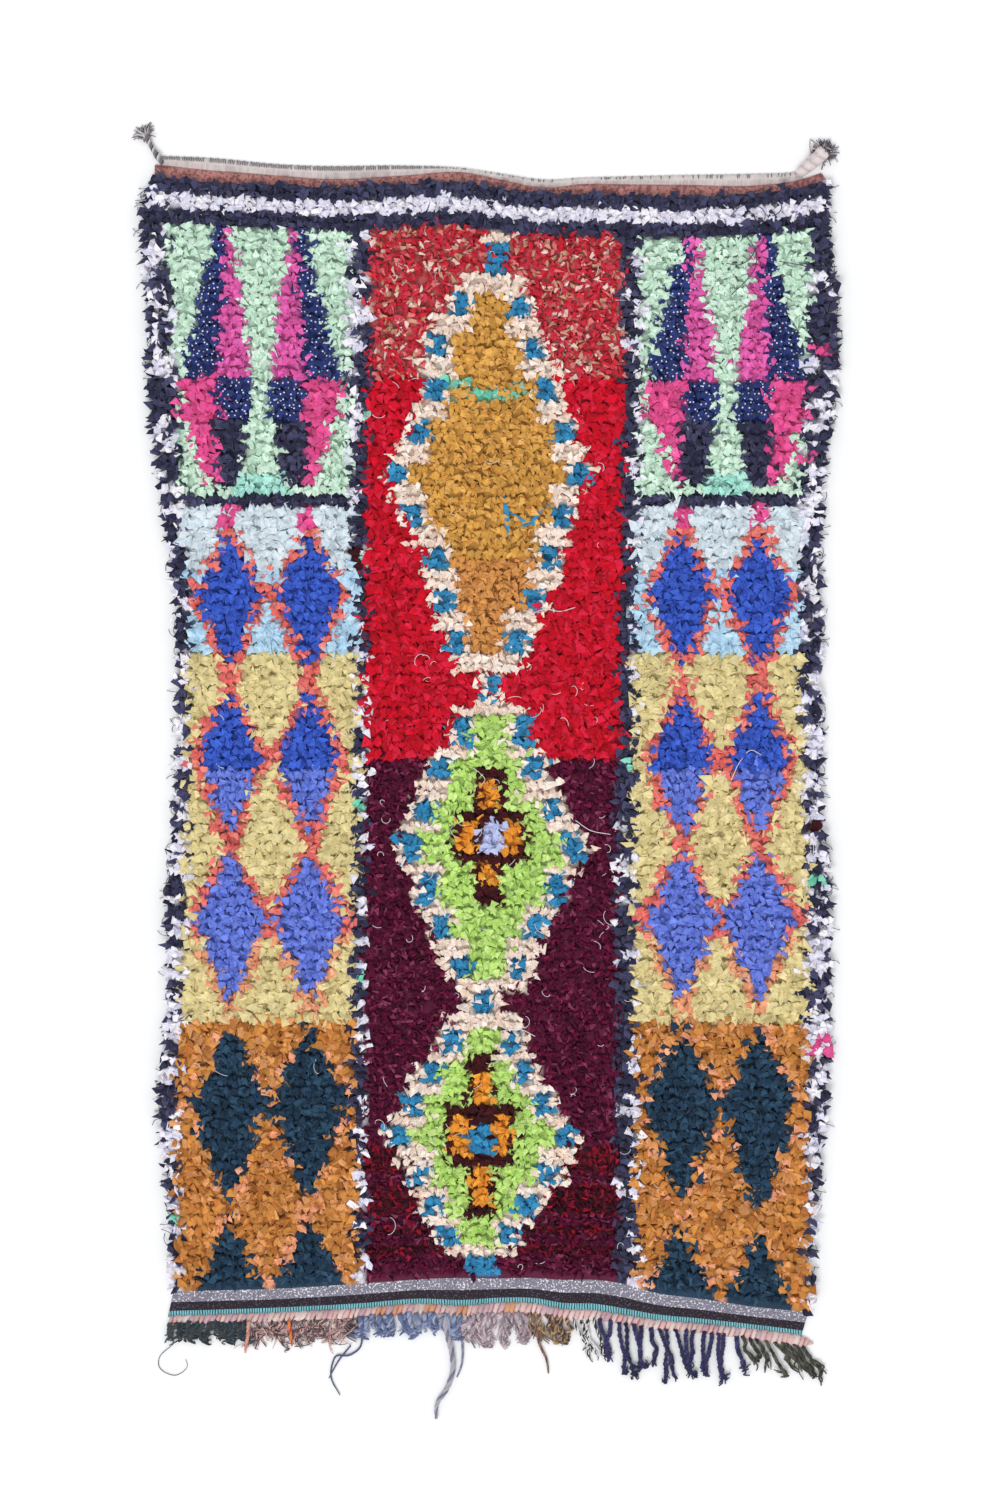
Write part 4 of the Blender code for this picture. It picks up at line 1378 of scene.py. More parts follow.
@dataclass
class ChainBraid:
    """The chained edging along the foot: slanted fat stitches of pink and cream, with red ticks between."""

    cloth: ClothFrame
    columns: int = 960
    rows: int = 9
    stitch: float = 0.0107
    base: float = 0.0034
    relief: float = 0.0072
    point: float = 0.030
    proud: float = 0.0034
    colours: tuple[Colour, ...] = ((242, 212, 206), (246, 226, 220), (240, 200, 196), (224, 190, 198))
    red: Colour = (206, 96, 108)
    orange: Colour = (236, 178, 138)
    slant: float = 0.70
    ticked_share: float = 0.58
    orange_share: float = 0.4
    orange_span: tuple[float, float] = (-0.26, 0.05)

    def build(self) -> None:
        """Chain it: each stitch is a hump along a slanted phase, rounded across the braid."""
        x, v = np.meshgrid(np.linspace(*self.cloth.braid_span, self.columns), np.linspace(0, 1, self.rows))
        start = self.cloth.foot_edge("cloth_foot", x) - 0.0004
        end = self.cloth.foot_edge("braid_foot", x)
        narrow = np.clip((self.cloth.braid_span[1] - x) / self.point, 0.06, 1) ** 0.7
        middle = (start + end) / 2
        reach = (start - end) / 2 + self.proud
        y = middle + reach * (1 - 2 * v) * narrow + 0.0008 * np.sin(x * 300)
        phase = x / self.stitch + self.slant * v + 0.12 * np.sin(x * 140)
        hump = np.abs(np.sin(np.pi * phase)) ** 0.55
        round_across = np.sqrt(np.clip(1 - 0.92 * (2 * v - 1) ** 2, 0, 1))
        z = (self.base + self.relief * hump * round_across) * (0.55 + 0.45 * narrow)
        index = np.floor(phase)
        pick = (scatter(index, np.zeros_like(index), 8) * len(self.colours)).astype(int)
        colours = linear(self.colours)[pick]
        ticked = (hump < 0.50) & (scatter(index, np.ones_like(index), 9) < self.ticked_share)
        colours = np.where(ticked[..., None], linear(self.red), colours)
        low, high = self.orange_span
        warm = (scatter(index, np.full_like(index, 2.0), 10) < self.orange_share) & (x > low) & (x < high)
        colours = np.where(warm[..., None] & ~ticked[..., None], linear(self.orange), colours)
        material = FlatWeave("chained_pink", None, rib=0.0013, warp=0.0019).material()
        declare(slab_piece("chain_braid", x, y, z, colours, (material,)), "pink_braid", "end_braid")


def tube_piece(name: str, paths: Array, radii: Array, colours: Array, material: bpy.types.Material
               ) -> bpy.types.Object:
    """Closed six-sided tubes along paths, as one mesh.

    A ring's points stand round the path on its level side vector and the upward vector square to it.

    Args:
        name: the piece's name.
        paths: tubes by points by 3 places.
        radii: tubes by points.
        colours: tubes by points by 3 linear colours.
        material: the finish.

    Returns:
        The new object.
    """
    n, k = paths.shape[:2]
    along = np.gradient(paths, axis=1)
    along /= np.linalg.norm(along, axis=-1, keepdims=True) + 1e-9
    side = np.stack([-along[..., 1], along[..., 0], np.zeros((n, k))], -1)
    side /= np.linalg.norm(side, axis=-1, keepdims=True) + 1e-9
    up = np.cross(along, side)
    angle = np.arange(6) * np.pi / 3
    ring = np.cos(angle)[:, None] * side[:, :, None, :] + np.sin(angle)[:, None] * up[:, :, None, :]
    points = paths[:, :, None, :] + ring * radii[:, :, None, None]
    step, corner = np.arange(k - 1)[:, None] * 6, np.arange(6)
    following = (corner + 1) % 6
    ring_quads = (step + corner, step + following, step + 6 + following, step + 6 + corner)
    quads = np.stack(ring_quads, -1).reshape(-1, 4)
    end = (k - 1) * 6
    caps = np.array([[3, 2, 1, 0], [5, 4, 3, 0], [end, end + 1, end + 2, end + 3],
                     [end, end + 3, end + 4, end + 5]])
    faces = (np.arange(n)[:, None, None] * k * 6 + np.concatenate([quads, caps])).reshape(-1, 4)
    piece = mesh_piece(name, points.reshape(-1, 3), faces, (material,))
    paint(piece, np.repeat(colours.reshape(-1, 3), 6, axis=0))
    u = np.stack([corner, corner + 1, corner + 1, corner], -1) / 6 * np.ones((k - 1, 1, 1))
    level = (np.arange(k - 1)[:, None, None] + np.array([0, 0, 1, 1])) / (k - 1)
    v = level * np.ones((1, 6, 1)) * 0.86 + 0.12
    cap = np.array([[[0.1, 0.02], [0.1, 0.1], [0.4, 0.1], [0.4, 0.02]]] * 4)
    cell = np.concatenate([np.stack([u, v], -1).reshape(-1, 4, 2), cap]) * 0.92 + 0.04
    unwrap(piece, grid_cells(n, cell))
    return piece


@dataclass(frozen=True)
class Yarn:
    """Finish of twisted yarn: its own colour with fine fibres."""

    name: str
    fibre: float = 1400.0

    def material(self) -> bpy.types.Material:
        """The finish as a Blender material."""
        nodes = Nodes(f"yarn_{self.name}")
        fibres = nodes.noise(self.fibre, 3.0)
        nodes.bump(fibres, 0.0007)
        return nodes.finish(nodes.shade(nodes.painted(), fibres, 0.72, 1.20), 0.92, 0.25)


def plies(path: Array, radius: Array, count: int, turns: float, share: float = 0.52) -> tuple[Array, Array]:
    """Yarns twisted round one path.

    Each ply stands off the path by (1 - share) of the radius, at an angle that turns evenly along it.

    Args:
        path: points by 3 places of the middle.
        radius: the whole cord's radius at each point.
        count: how many plies.
        turns: whole turns along the path.
        share: a ply's radius as a share of the cord's.

    Returns:
        The plies' paths and radii.
    """
    along = np.gradient(path, axis=0)
    along /= np.linalg.norm(along, axis=-1, keepdims=True) + 1e-9
    side = np.stack([-along[:, 1], along[:, 0], np.zeros(len(path))], -1)
    up = np.cross(along, side)
    first = 2 * np.pi * np.arange(count)[:, None] / count
    angle = np.linspace(0, 2 * np.pi * turns, len(path))[None, :] + first
    off = (radius * (1 - share))[None, :, None]
    paths = path[None] + off * (np.cos(angle)[..., None] * side + np.sin(angle)[..., None] * up)
    return paths, np.repeat((radius * share)[None], count, 0)


@dataclass
class StrandDraws:
    """Draws a number for each strand of a run and gives it to all the strand's yarns."""

    rng: np.random.Generator
    strands: int
    yarns: int

    def between(self, low: float, high: float) -> Array:
        """A number for each yarn, the same within a strand."""
        return np.repeat(self.rng.uniform(low, high, self.strands), self.yarns)


@dataclass(frozen=True)
class FringeRun:
    """A run of warp ends of one colour: where it starts and ends, its strands, lengths, lean and yarn."""

    name: str
    start: float
    end: float
    strands: int
    short: float
    long: float
    lean: float
    thick: float
    curl: float
    looped: float
    colours: tuple[Colour, ...]


@dataclass
class WarpFringe:
    """The warp ends below the braid: loops and cut ends of soft yarn, in runs of one colour each."""

    cloth: ClothFrame
    seed: int = 23
    points: int = 18
    yarns: int = 6
    curl: float = 0.0022
    sway: float = 0.10
    sway_length: float = 0.27
    runs: tuple[FringeRun, ...] = (
        FringeRun("teal", -0.642, -0.486, 17, 0.014, 0.038, -0.10, 0.0024, 2.8, 0.75,
                  ((46, 66, 76), (34, 48, 58), (70, 66, 62))),
        FringeRun("pink", -0.485, -0.264, 30, 0.028, 0.054, 0.04, 0.0012, 4.0, 0.45,
                  ((196, 152, 148), (66, 54, 58), (214, 176, 166), (118, 92, 96), (84, 66, 70))),
        FringeRun("slate", -0.263, -0.054, 17, 0.024, 0.052, 0.12, 0.0025, 2.4, 0.6,
                  ((112, 124, 160), (92, 104, 142), (150, 158, 184))),
        FringeRun("mauve", -0.053, 0.069, 15, 0.040, 0.066, 0.10, 0.0020, 2.6, 0.35,
                  ((186, 162, 170), (150, 132, 144), (206, 188, 192))),
        FringeRun("brown", 0.070, 0.157, 10, 0.036, 0.058, 0.14, 0.0019, 2.4, 0.4,
                  ((120, 92, 74), (74, 54, 48), (176, 148, 108), (140, 112, 100))),
        FringeRun("marl", 0.158, 0.215, 5, 0.050, 0.078, 0.25, 0.0016, 2.0, 0.3,
                  ((42, 40, 44), (224, 220, 220))),
        FringeRun("navy", 0.216, 0.497, 17, 0.066, 0.108, 0.10, 0.0024, 1.7, 0.55,
                  ((46, 44, 92), (34, 33, 70), (58, 56, 104))),
        FringeRun("olive", 0.498, 0.634, 9, 0.042, 0.072, 0.60, 0.0020, 2.2, 0.5,
                  ((60, 62, 48), (38, 38, 34), (84, 82, 70))),
    )

    def build(self) -> None:
        """Lay out each run's yarns and build one piece for each."""
        for place, run in enumerate(self.runs):
            rng = np.random.default_rng(self.seed + place)
            paths, radii, colours = self.lay(run, rng)
            piece = tube_piece(f"fringe_yarns_{run.name}", paths, radii, colours, Yarn(run.name).material())
            declare(piece, f"{run.name}_warp", f"fringe_{run.name}")

    def lay(self, run: FringeRun, rng: np.random.Generator) -> tuple[Array, Array, Array]:
        """Paths of a run's yarns.

        The yarns of one strand are twisted round its middle line, which leaves the braid, runs out along
        its lean and wanders in sine waves. A looped strand turns and comes part of the way back beside
        itself, as y = length times the sine of 0.62 pi times the share along it.

        Args:
            run: the run.
            rng: draws each yarn.

        Returns:
            Paths, radii and colours.
        """
        count = run.strands * self.yarns
        s = np.linspace(0, 1, self.points)[None, :]
        strand = np.repeat(np.arange(run.strands), self.yarns)
        ply = np.tile(np.arange(self.yarns), run.strands)[:, None]
        pitch = (run.end - run.start) / run.strands
        draws = StrandDraws(rng, run.strands, self.yarns)
        x0 = run.start + pitch * (strand + 0.5) + draws.between(-0.3, 0.3) * pitch
        length = run.short + (run.long - run.short) * draws.between(0, 1) + rng.normal(0, 0.0022, count)
        looped = (draws.between(0, 1) < run.looped)[:, None]
        tent = np.where(looped, np.sin(np.pi * np.clip(0.62 * s, 0, 1)) ** 0.9, s)
        lean = run.lean + self.sway * np.sin(2 * np.pi * x0 / self.sway_length) + draws.between(-0.22, 0.22)
        gap = draws.between(-1.0, 1.0)[:, None] * 1.35 * pitch
        wave = [draws.between(0, 2 * np.pi)[:, None] for _ in range(3)]
        waves = np.sin(wave[0] + 6 * s) + 0.7 * np.sin(wave[1] + 11 * s) + 0.3 * np.sin(wave[2] + 19 * s)
        curl = run.curl * self.curl * waves * np.sqrt(s)
        fray = rng.normal(0, 0.0020, (2, count))[..., None] * s ** 2 * (0.5 + run.curl)
        turn = 2 * np.pi * (ply / self.yarns + draws.between(0.8, 1.6)[:, None] * s * length[:, None] / 0.02)
        off = run.thick * (1.25 - 0.45 * s)
        out = length[:, None] * tent
        start = self.cloth.foot_edge("braid_foot", x0)[:, None] + 0.0010
        side = np.where(looped, gap * np.sin(np.pi * 0.5 * s) ** 2, 0)
        x = x0[:, None] + lean[:, None] * out + curl + side + off * np.cos(turn) + fray[0]
        y = start - out + 0.3 * np.roll(curl, 3, axis=1) + fray[1]
        layer = draws.between(0, 1)[:, None] * 0.0030
        z = 2.3 * run.thick + 0.0004 + layer * np.cos(0.45 * np.pi * s) + off * np.sin(turn)
        radii = run.thick * rng.normal(1, 0.15, count).clip(0.7, 1.3)[:, None] * (1 - 0.40 * s ** 3)
        z = np.maximum(z, radii + 0.0002)
        shades = linear(run.colours)
        pick = rng.integers(0, len(shades), count)
        tone = 1 + rng.normal(0, 0.1, (count, 1)) + draws.between(-0.12, 0.12)[:, None]
        colours = np.repeat((shades[pick] * tone)[:, None], self.points, 1)
        return np.stack([x, y, z], -1), radii, colours


@dataclass(frozen=True)
class Hank:
    """A long twisted end out of the fringe: its CAD strip, thickness, colours and route on the floor."""

    name: str
    strip: str
    radius: float
    colours: tuple[Colour, ...]
    route: tuple[tuple[float, float], ...]
    lift: float = 0.0


@dataclass
class Hanks:
    """The long twisted hanks and stray threads of the fringe."""

    points: int = 70
    plies: int = 3
    lay: float = 7.0
    hanks: tuple[Hank, ...] = (
        Hank("slate_long", "slate", 0.0060, ((176, 172, 182), (120, 122, 144)),
             ((-0.092, -1.130), (-0.084, -1.172), (-0.076, -1.205), (-0.074, -1.234), (-0.081, -1.264),
              (-0.092, -1.286), (-0.105, -1.304), (-0.108, -1.320), (-0.107, -1.336))),
        Hank("slate_short", "slate", 0.0028, ((150, 150, 170), (110, 116, 140)),
             ((-0.066, -1.135), (-0.055, -1.190), (-0.058, -1.234), (-0.066, -1.254))),
        Hank("brown_strand", "brown", 0.0030, ((150, 110, 90), (80, 60, 54)),
             ((0.088, -1.140), (0.100, -1.190), (0.113, -1.219), (0.117, -1.246))),
        Hank("salmon_strand", "pink", 0.0038, ((222, 160, 140), (200, 130, 120)),
             ((-0.482, -1.140), (-0.484, -1.170), (-0.489, -1.204)), 0.004),
        Hank("amber_yarn", "pink", 0.0034, ((232, 132, 56), (196, 50, 60)),
             ((-0.402, -1.138), (-0.399, -1.160), (-0.395, -1.190)), 0.006),
        Hank("slate_thread", "pink", 0.0021, ((90, 96, 130), (70, 76, 108)),
             ((-0.259, -1.134), (-0.263, -1.198), (-0.282, -1.210), (-0.308, -1.212), (-0.316, -1.230),
              (-0.318, -1.252), (-0.300, -1.290))),
        Hank("slate_thread_low", "pink", 0.0018, ((90, 96, 130), (70, 76, 108)),
             ((-0.278, -1.190), (-0.302, -1.220), (-0.322, -1.256))),
        Hank("teal_thread", "teal", 0.0009, ((40, 44, 50),),
             ((-0.632, -1.186), (-0.6626, -1.220), (-0.6626, -1.230), (-0.627, -1.250), (-0.605, -1.230),
              (-0.609, -1.218))),
    )

    def build(self) -> None:
        """Twist each hank of three plies."""
        for hank in self.hanks:
            flat = curve_through(hank.route, self.points)
            s = np.linspace(0, 1, self.points)
            path = np.concatenate([flat, np.full((self.points, 1), hank.radius + 0.0004)], -1)
            path[:, 2] += 0.004 * s[::-1] ** 3 + hank.lift
            length = np.linalg.norm(np.diff(path, axis=0), axis=1).sum()
            radius = hank.radius * (1 - 0.45 * s ** 4)
            paths, radii = plies(path, radius, self.plies, length / (hank.radius * self.lay))
            shades = linear(hank.colours)[np.arange(self.plies) % len(hank.colours)]
            colours = np.repeat(shades[:, None], self.points, 1)
            piece = tube_piece(f"hank_{hank.name}", paths, radii, colours, Yarn(hank.name).material())
            declare(piece, f"{hank.strip}_warp", f"fringe_{hank.strip}")


@dataclass(frozen=True)
class Tassel:
    """A corner tassel: its side, slot, cord route with radii, and its frayed tuft."""

    side: str
    slot: str
    route: tuple[tuple[float, float, float], ...]
    height: float
    strands: int
    length: float
    spread: float
    heading: float
    bulb: float
    cord: tuple[Colour, ...]
    colours: tuple[Colour, ...]


@dataclass
class CornerTassels:
    """The warp cords at the two top corners, plied, knotted and frayed into tufts."""

    cord_points: int = 60
    cord_plies: int = 5
    cord_turns: float = 3.5
    ply_share: float = 0.48
    cord_level: float = 0.0045
    tucked: float = 0.006
    tuft_yarn: float = 0.0013
    tip_colour: Colour = (40, 38, 46)
    seed: int = 57
    points: int = 10
    tassels: tuple[Tassel, ...] = (
        Tassel("left", "marl_warp",
               ((-0.6540, 1.172, 0.0046), (-0.664, 1.186, 0.0066), (-0.672, 1.198, 0.0050),
                (-0.680, 1.212, 0.0050), (-0.687, 1.225, 0.0064)),
               0.0070, 84, 0.030, 1.25, 2.05, 0.0026,
               ((120, 114, 120), (70, 66, 72), (214, 210, 210), (160, 152, 158)),
               ((120, 114, 120), (70, 66, 72), (214, 210, 210), (160, 152, 158))),
        Tassel("right", "cream_warp",
               ((0.6160, 1.150, 0.0100), (0.631, 1.162, 0.0118), (0.644, 1.173, 0.0134),
                (0.655, 1.183, 0.0136), (0.664, 1.192, 0.0150)),
               0.0100, 190, 0.026, 2.60, 0.80, 0.0076,
               ((228, 214, 212), (214, 200, 198), (196, 182, 182), (222, 208, 206)),
               ((206, 192, 194), (104, 98, 108), (74, 70, 80), (168, 156, 162))),
    )

    def build(self) -> None:
        """Ply each cord, and fan its tuft out from the cord's end."""
        for place, tassel in enumerate(self.tassels):
            rng = np.random.default_rng(self.seed + place)
            line = curve_through(tassel.route, self.cord_points)
            radius = line[:, 2]
            path = np.stack([line[:, 0], line[:, 1], np.maximum(radius + 0.0006, self.cord_level)], -1)
            paths, radii = plies(path, radius, self.cord_plies, self.cord_turns, self.ply_share)
            shades = linear(tassel.cord)[np.arange(self.cord_plies) % len(tassel.cord)]
            colours = np.repeat(shades[:, None], self.cord_points, 1)
            material = Yarn(f"cord_{tassel.side}").material()
            cord = tube_piece(f"tassel_cord_{tassel.side}", paths, radii, colours, material)
            declare(cord, tassel.slot, f"corner_tassel_{tassel.side}")
            tuft = self.tuft(tassel, path[-1], rng)
            declare(tuft, tassel.slot, f"corner_tassel_{tassel.side}")

    def tuft(self, tassel: Tassel, end: Array, rng: np.random.Generator) -> bpy.types.Object:
        """The frayed end: fine yarns fanned about the tassel's heading, with a slight curl.

        Args:
            tassel: its sizes.
            end: where its cord ends.
            rng: draws the yarns.

        Returns:
            The new object.
        """
        n, s = tassel.strands, np.linspace(0, 1, self.points)[None, :]
        angle = tassel.heading + rng.uniform(-0.5, 0.5, n) * tassel.spread
        length = tassel.length * rng.uniform(0.6, 1.05, n)
        root = rng.normal(0, tassel.bulb, (2, n))
        bend = rng.normal(0, 0.5, n)[:, None] * s
        angle, reach = angle[:, None], length[:, None] * s
        x = end[0] + root[0][:, None] + reach * np.cos(angle + bend) - self.tucked * np.cos(angle)
        y = end[1] + root[1][:, None] + reach * np.sin(angle + bend) - self.tucked * np.sin(angle)
        lift = rng.uniform(0.0012, tassel.height * 1.3, n)[:, None]
        z = lift * (1 - 0.45 * s) + 0.0004 + 0.0008 * np.sin(7 * s + angle).clip(0, 1)
        radii = np.full((n, self.points), self.tuft_yarn) * (1 - 0.4 * s)
        shades = linear(tassel.colours)
        pick = shades[rng.integers(0, len(shades), n)][:, None] * np.ones((1, self.points, 1))
        fade = ((s - 0.7) / 0.3).clip(0, 1)[..., None] * (rng.random(n) < 0.5)[:, None, None]
        colours = pick * (1 - fade) + linear(self.tip_colour) * fade
        material = Yarn(f"tuft_{tassel.side}").material()
        return tube_piece(f"tassel_tuft_{tassel.side}", np.stack([x, y, z], -1), radii, colours, material)


@dataclass
class RimLocks:
    """The longer rag ends that hang out over both long edges, navy and white in no order."""

    cloth: ClothFrame
    step: float = 0.0058
    length: float = 0.023
    bit: float = 0.024
    white_split: float = 0.24
    white_shares: tuple[float, float] = (0.24, 0.42)
    inward: float = 0.010
    root: float = 0.0035
    width: float = 0.0135
    height: float = 0.0125
    down: float = 0.30
    seed: int = 71

    def build(self) -> None:
        """Tie the locks of both sides, one piece for each rag."""
        rng = np.random.default_rng(self.seed)
        top, foot = self.cloth.levels()
        y = np.arange(top, foot, -self.step)
        share = np.where(y > self.white_split, *self.white_shares)
        for rag in (Rag.NAVY, Rag.WHITE):
            parts = []
            for side, sign in (("left", -1), ("right", 1)):
                edge = self.cloth.side(side, y) - sign * self.inward
                white = scatter(np.round(y / self.bit), np.full_like(y, sign), 6) < share
                chosen = white == (rag is Rag.WHITE)
                parts.append(np.stack([edge, self.cloth.waved(edge, y), np.full_like(y, sign)], -1)[chosen])
            spots = np.concatenate(parts)
            n = len(spots)
            shades = linear(STYLES[rag].colours)
            out = np.where(spots[:, 2] > 0, 0.0, np.pi)
            leaves = Leaves(
                x=spots[:, 0], y=spots[:, 1], z=np.full(n, self.root),
                heading=out - spots[:, 2] * (self.down + rng.normal(0, 0.42, n)),
                length=self.length * rng.normal(1, 0.24, n).clip(0.5, 1.35),
                width=self.width * rng.normal(1, 0.2, n).clip(0.6, 1.5),
                height=self.height * rng.normal(1, 0.2, n).clip(0.5, 1.4), reach=0.80,
                fold=np.full(n, 0.0028), tip=rng.uniform(0.3, 0.7, n),
                colour=shades[rng.integers(0, len(shades), n)] * (1 + rng.normal(0, 0.08, n))[:, None],
            )
            style = STYLES[rag]
            piece = leaves.build(f"rim_locks_{style.name}", RagCloth(style).material(), rng)
            declare(piece, "rag_pile", "rug")


@dataclass
class RimThreads:
    """Fine navy threads that stick out of both long edges."""

    cloth: ClothFrame
    count: int = 230
    points: int = 7
    length: float = 0.022
    thick: float = 0.0006
    level: float = 0.0110
    across: tuple[float, float] = (-0.716, 0.714)
    seed: int = 101

    def build(self) -> None:
        """Lay the threads: each runs out from the rim and sags to the floor, bent a little sideways."""
        rng = np.random.default_rng(self.seed)
        top, foot = self.cloth.levels()
        y = rng.uniform(foot, top, self.count)
        right = rng.random(self.count) < 0.5
        x = np.where(right, self.cloth.side("right", y) + 0.002, self.cloth.side("left", y) - 0.002)
        s = np.linspace(0, 1, self.points)[None, :]
        angle = np.where(right, 0.0, np.pi) + rng.normal(0, 0.5, self.count)
        turn = angle[:, None] + rng.normal(0, 0.9, self.count)[:, None] * s
        out = (self.length * rng.uniform(0.5, 1.2, self.count))[:, None] * s
        paths = np.stack(np.broadcast_arrays(
            (x[:, None] + out * np.cos(turn)).clip(*self.across),
            self.cloth.waved(x, y)[:, None] + out * np.sin(turn),
            self.level * (1 - s) ** 0.7 + self.thick + 0.0003,
        ), -1)
        shades = linear(STYLES[Rag.NAVY].colours)
        colours = np.repeat(shades[rng.integers(0, len(shades), self.count)][:, None], self.points, 1)
        radii = np.full((self.count, self.points), self.thick)
        piece = tube_piece("rim_threads", paths, radii, colours, Yarn("rim_navy").material())
        declare(piece, "rag_pile", "rug")


@dataclass
class LooseEnds:
    """A few long rag ends that have worked loose and lie on the pile."""

    seed: int = 97
    level: float = 0.0200
    # Place across and along, heading in degrees, length and width.
    teal: tuple[tuple[float, float, float, float, float], ...] = (
        (0.026, 0.512, -74, 0.072, 0.011),
        (0.104, 0.452, 190, 0.066, 0.010),
        (0.060, 0.446, 12, 0.050, 0.009),
    )

    def build(self) -> None:
        """Lay the teal ends by the first medallion."""
        rng = np.random.default_rng(self.seed)
        x, y, heading, length, width = np.array(self.teal).T
        n = len(x)
        leaves = Leaves(
            x=x, y=y, z=np.full(n, self.level), heading=np.radians(heading), length=length, width=width,
            height=np.full(n, 0.006), fold=np.full(n, 0.002), tip=np.full(n, 0.4),
            colour=np.repeat(linear(STYLES[Rag.TEAL].colours[0])[None], n, 0), reach=0.95,
            rings=(0.0, 0.25, 0.5, 0.75, 1.0),
        )
        piece = leaves.build("loose_teal_ends", RagCloth(STYLES[Rag.TEAL]).material(), rng)
        declare(piece, "rag_pile", "rug")


@dataclass
class LooseThreads:
    """Pale lint and stray threads that lie on the pile."""

    seed: int = 83
    curls: int = 150
    points: int = 13
    level: float = 0.0262
    field: tuple[tuple[float, float], tuple[float, float]] = ((-0.60, 0.62), (-1.04, 1.10))
    middle: tuple[tuple[float, float], tuple[float, float]] = ((-0.23, 0.25), (-1.02, 0.74))
    middle_share: float = 0.55
    white: Colour = (236, 232, 236)
    dark: Colour = (40, 44, 66)
    dark_routes: tuple[tuple[tuple[float, float], ...], ...] = (
        ((0.478, 1.060), (0.500, 1.082), (0.530, 1.084), (0.548, 1.066), (0.540, 1.046), (0.520, 1.050)),
        ((0.560, 1.084), (0.570, 1.092), (0.580, 1.084), (0.576, 1.070), (0.562, 1.062)),
        ((0.490, 1.050), (0.510, 1.022), (0.530, 0.990), (0.528, 0.960), (0.506, 0.930), (0.480, 0.906)),
        ((0.530, 1.000), (0.515, 0.975), (0.496, 0.965), (0.470, 0.968)),
        ((0.575, 0.972), (0.610, 0.966), (0.640, 0.960), (0.690, 0.962)),
    )
    routes: tuple[tuple[tuple[float, float], ...], ...] = (
        ((-0.034, -0.036), (-0.020, -0.046), (-0.010, -0.060), (-0.018, -0.070)),
        ((0.080, 0.270), (0.110, 0.280), (0.140, 0.276), (0.170, 0.284)),
        ((0.170, -0.140), (0.200, -0.160), (0.240, -0.168)),
        ((0.540, -0.010), (0.520, 0.000), (0.500, -0.020), (0.480, -0.060)),
        ((0.020, -0.560), (0.060, -0.556), (0.090, -0.570)),
    )

    def build(self) -> None:
        """Scatter the lint curls and lay the longer threads."""
        rng = np.random.default_rng(self.seed)
        n, s = self.curls, np.linspace(0, 1, self.points)[None, :]
        x0, y0 = (rng.uniform(*span, n) for span in self.field)
        inner = rng.random(n) < self.middle_share
        x0, y0 = (np.where(inner, rng.uniform(*span, n), at) for span, at in zip(self.middle, (x0, y0)))
        size = rng.uniform(0.004, 0.011, n)[:, None]
        turn = rng.uniform(0, 2 * np.pi, n)[:, None]
        sweep = rng.uniform(1.2, 4.5, n)[:, None] * s
        drift = rng.normal(0, 0.010, (2, n))[..., None] * s
        x = x0[:, None] + size * np.cos(turn + sweep) + drift[0]
        y = y0[:, None] + size * np.sin(turn + sweep) + drift[1]
        z = self.level + 0.0016 * np.sin(5 * s + turn)
        groups = (
            (np.stack([x, y, z], -1), 0.0005, self.white),
            (self.laid(self.routes, 0.0012), 0.0007, self.white),
            (self.laid(self.dark_routes, 0.0062), 0.0009, self.dark),
        )
        paths = np.concatenate([path for path, _, _ in groups])
        radii = np.concatenate([np.full(path.shape[:2], thick) for path, thick, _ in groups])
        colours = np.concatenate([np.broadcast_to(linear(colour), path.shape) for path, _, colour in groups])
        piece = tube_piece("loose_threads", paths, radii, colours, Yarn("lint").material())
        declare(piece, "rag_pile", "rug")

    def laid(self, routes: tuple, above: float) -> Array:
        """Paths along routes across and along, this far above the lint's level."""
        lines = np.array([curve_through(route, self.points) for route in routes])
        return np.concatenate([lines, np.full((*lines.shape[:2], 1), self.level + above)], -1)


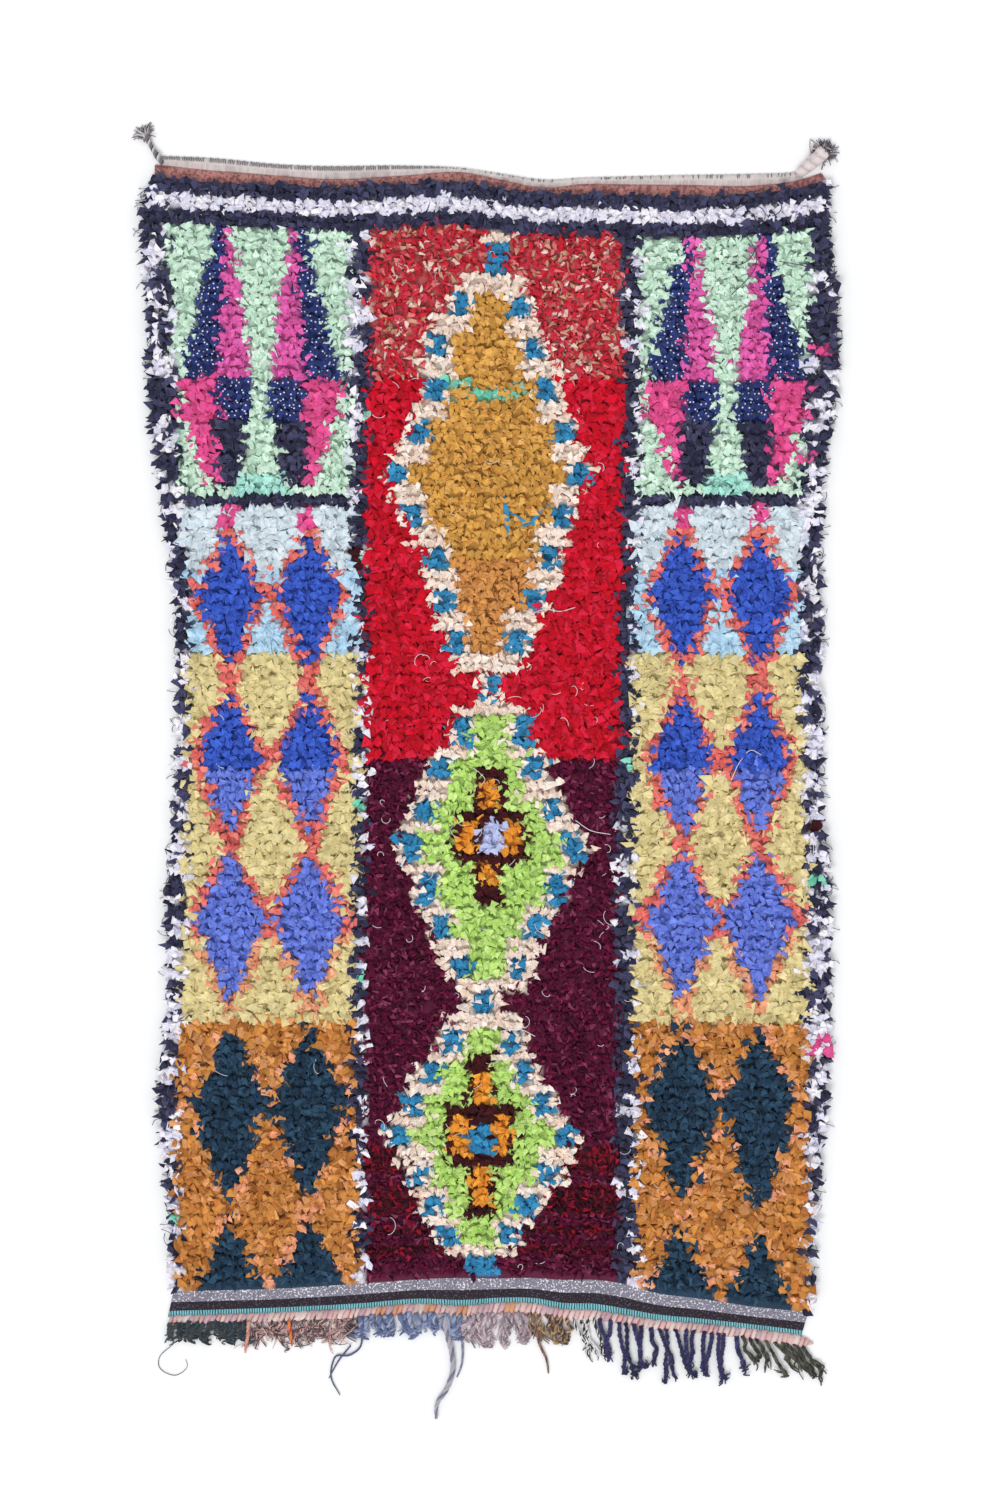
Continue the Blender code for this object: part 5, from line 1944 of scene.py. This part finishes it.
@dataclass
class Studio:
    """A white floor, soft light from all round, and the camera straight above."""

    lens: float = 70.0
    frame_height: float = 3.0
    sensor: float = 36.0
    middle: tuple[float, float] = (0.021, 0.0)
    floor_size: float = 16.0
    sky: float = 0.80
    key: float = 1.30
    key_turn: tuple[float, float, float] = (0.62, -0.30, 0.0)
    key_angle: float = 28.0
    floor_tone: tuple[float, float, float] = (0.95, 0.95, 0.95)
    sky_tone: tuple[float, float, float] = (0.97, 0.98, 1.0)
    far: float = 60.0

    def build(self) -> None:
        """Lay the floor, light it and place the camera."""
        scene = bpy.context.scene
        scene.view_settings.view_transform = "Standard"
        nodes = Nodes("white_floor")
        tone = nodes.plain(self.floor_tone)
        material = nodes.finish(nodes.shade(tone, nodes.noise(3.0), 0.995, 1.005), 0.9, 0.0)
        half = self.floor_size / 2
        corners = np.array([[-half, -half, 0], [half, -half, 0], [half, half, 0], [-half, half, 0]])
        floor = mesh_piece("studio_floor", corners - (0, 0, 0.0003), np.array([[0, 1, 2, 3]]), (material,))
        world = bpy.data.worlds.new("studio")
        scene.world = world
        world.use_nodes = True
        background = world.node_tree.nodes["Background"]
        background.inputs[0].default_value = (*self.sky_tone, 1.0)
        background.inputs[1].default_value = self.sky
        sun = bpy.data.lights.new("soft_key", "SUN")
        sun.energy = self.key
        sun.angle = math.radians(self.key_angle)
        light = bpy.data.objects.new("soft_key", sun)
        light.rotation_euler = self.key_turn
        bpy.context.collection.objects.link(light)
        camera = bpy.data.cameras.new("camera")
        camera.lens = self.lens
        camera.sensor_width = self.sensor
        camera.clip_end = self.far
        eye = bpy.data.objects.new("camera", camera)
        eye.location = (*self.middle, self.frame_height * self.lens / self.sensor)
        bpy.context.collection.objects.link(eye)
        scene.camera = eye


def main() -> None:
    """Build the studio and every part of the rug in order."""
    logging.basicConfig(level=logging.INFO, format="%(message)s")
    cloth, pattern = ClothFrame(), Pattern()
    Studio().build()
    GroundCloth(cloth, pattern).build()
    RagPile(cloth, pattern).build()
    RimLocks(cloth).build()
    TwinedHeading(cloth).build()
    ChainBraid(cloth).build()
    WarpFringe(cloth).build()
    Hanks().build()
    CornerTassels().build()
    RimThreads(cloth).build()
    LooseEnds().build()
    LooseThreads().build()


if __name__ == "__main__":
    main()
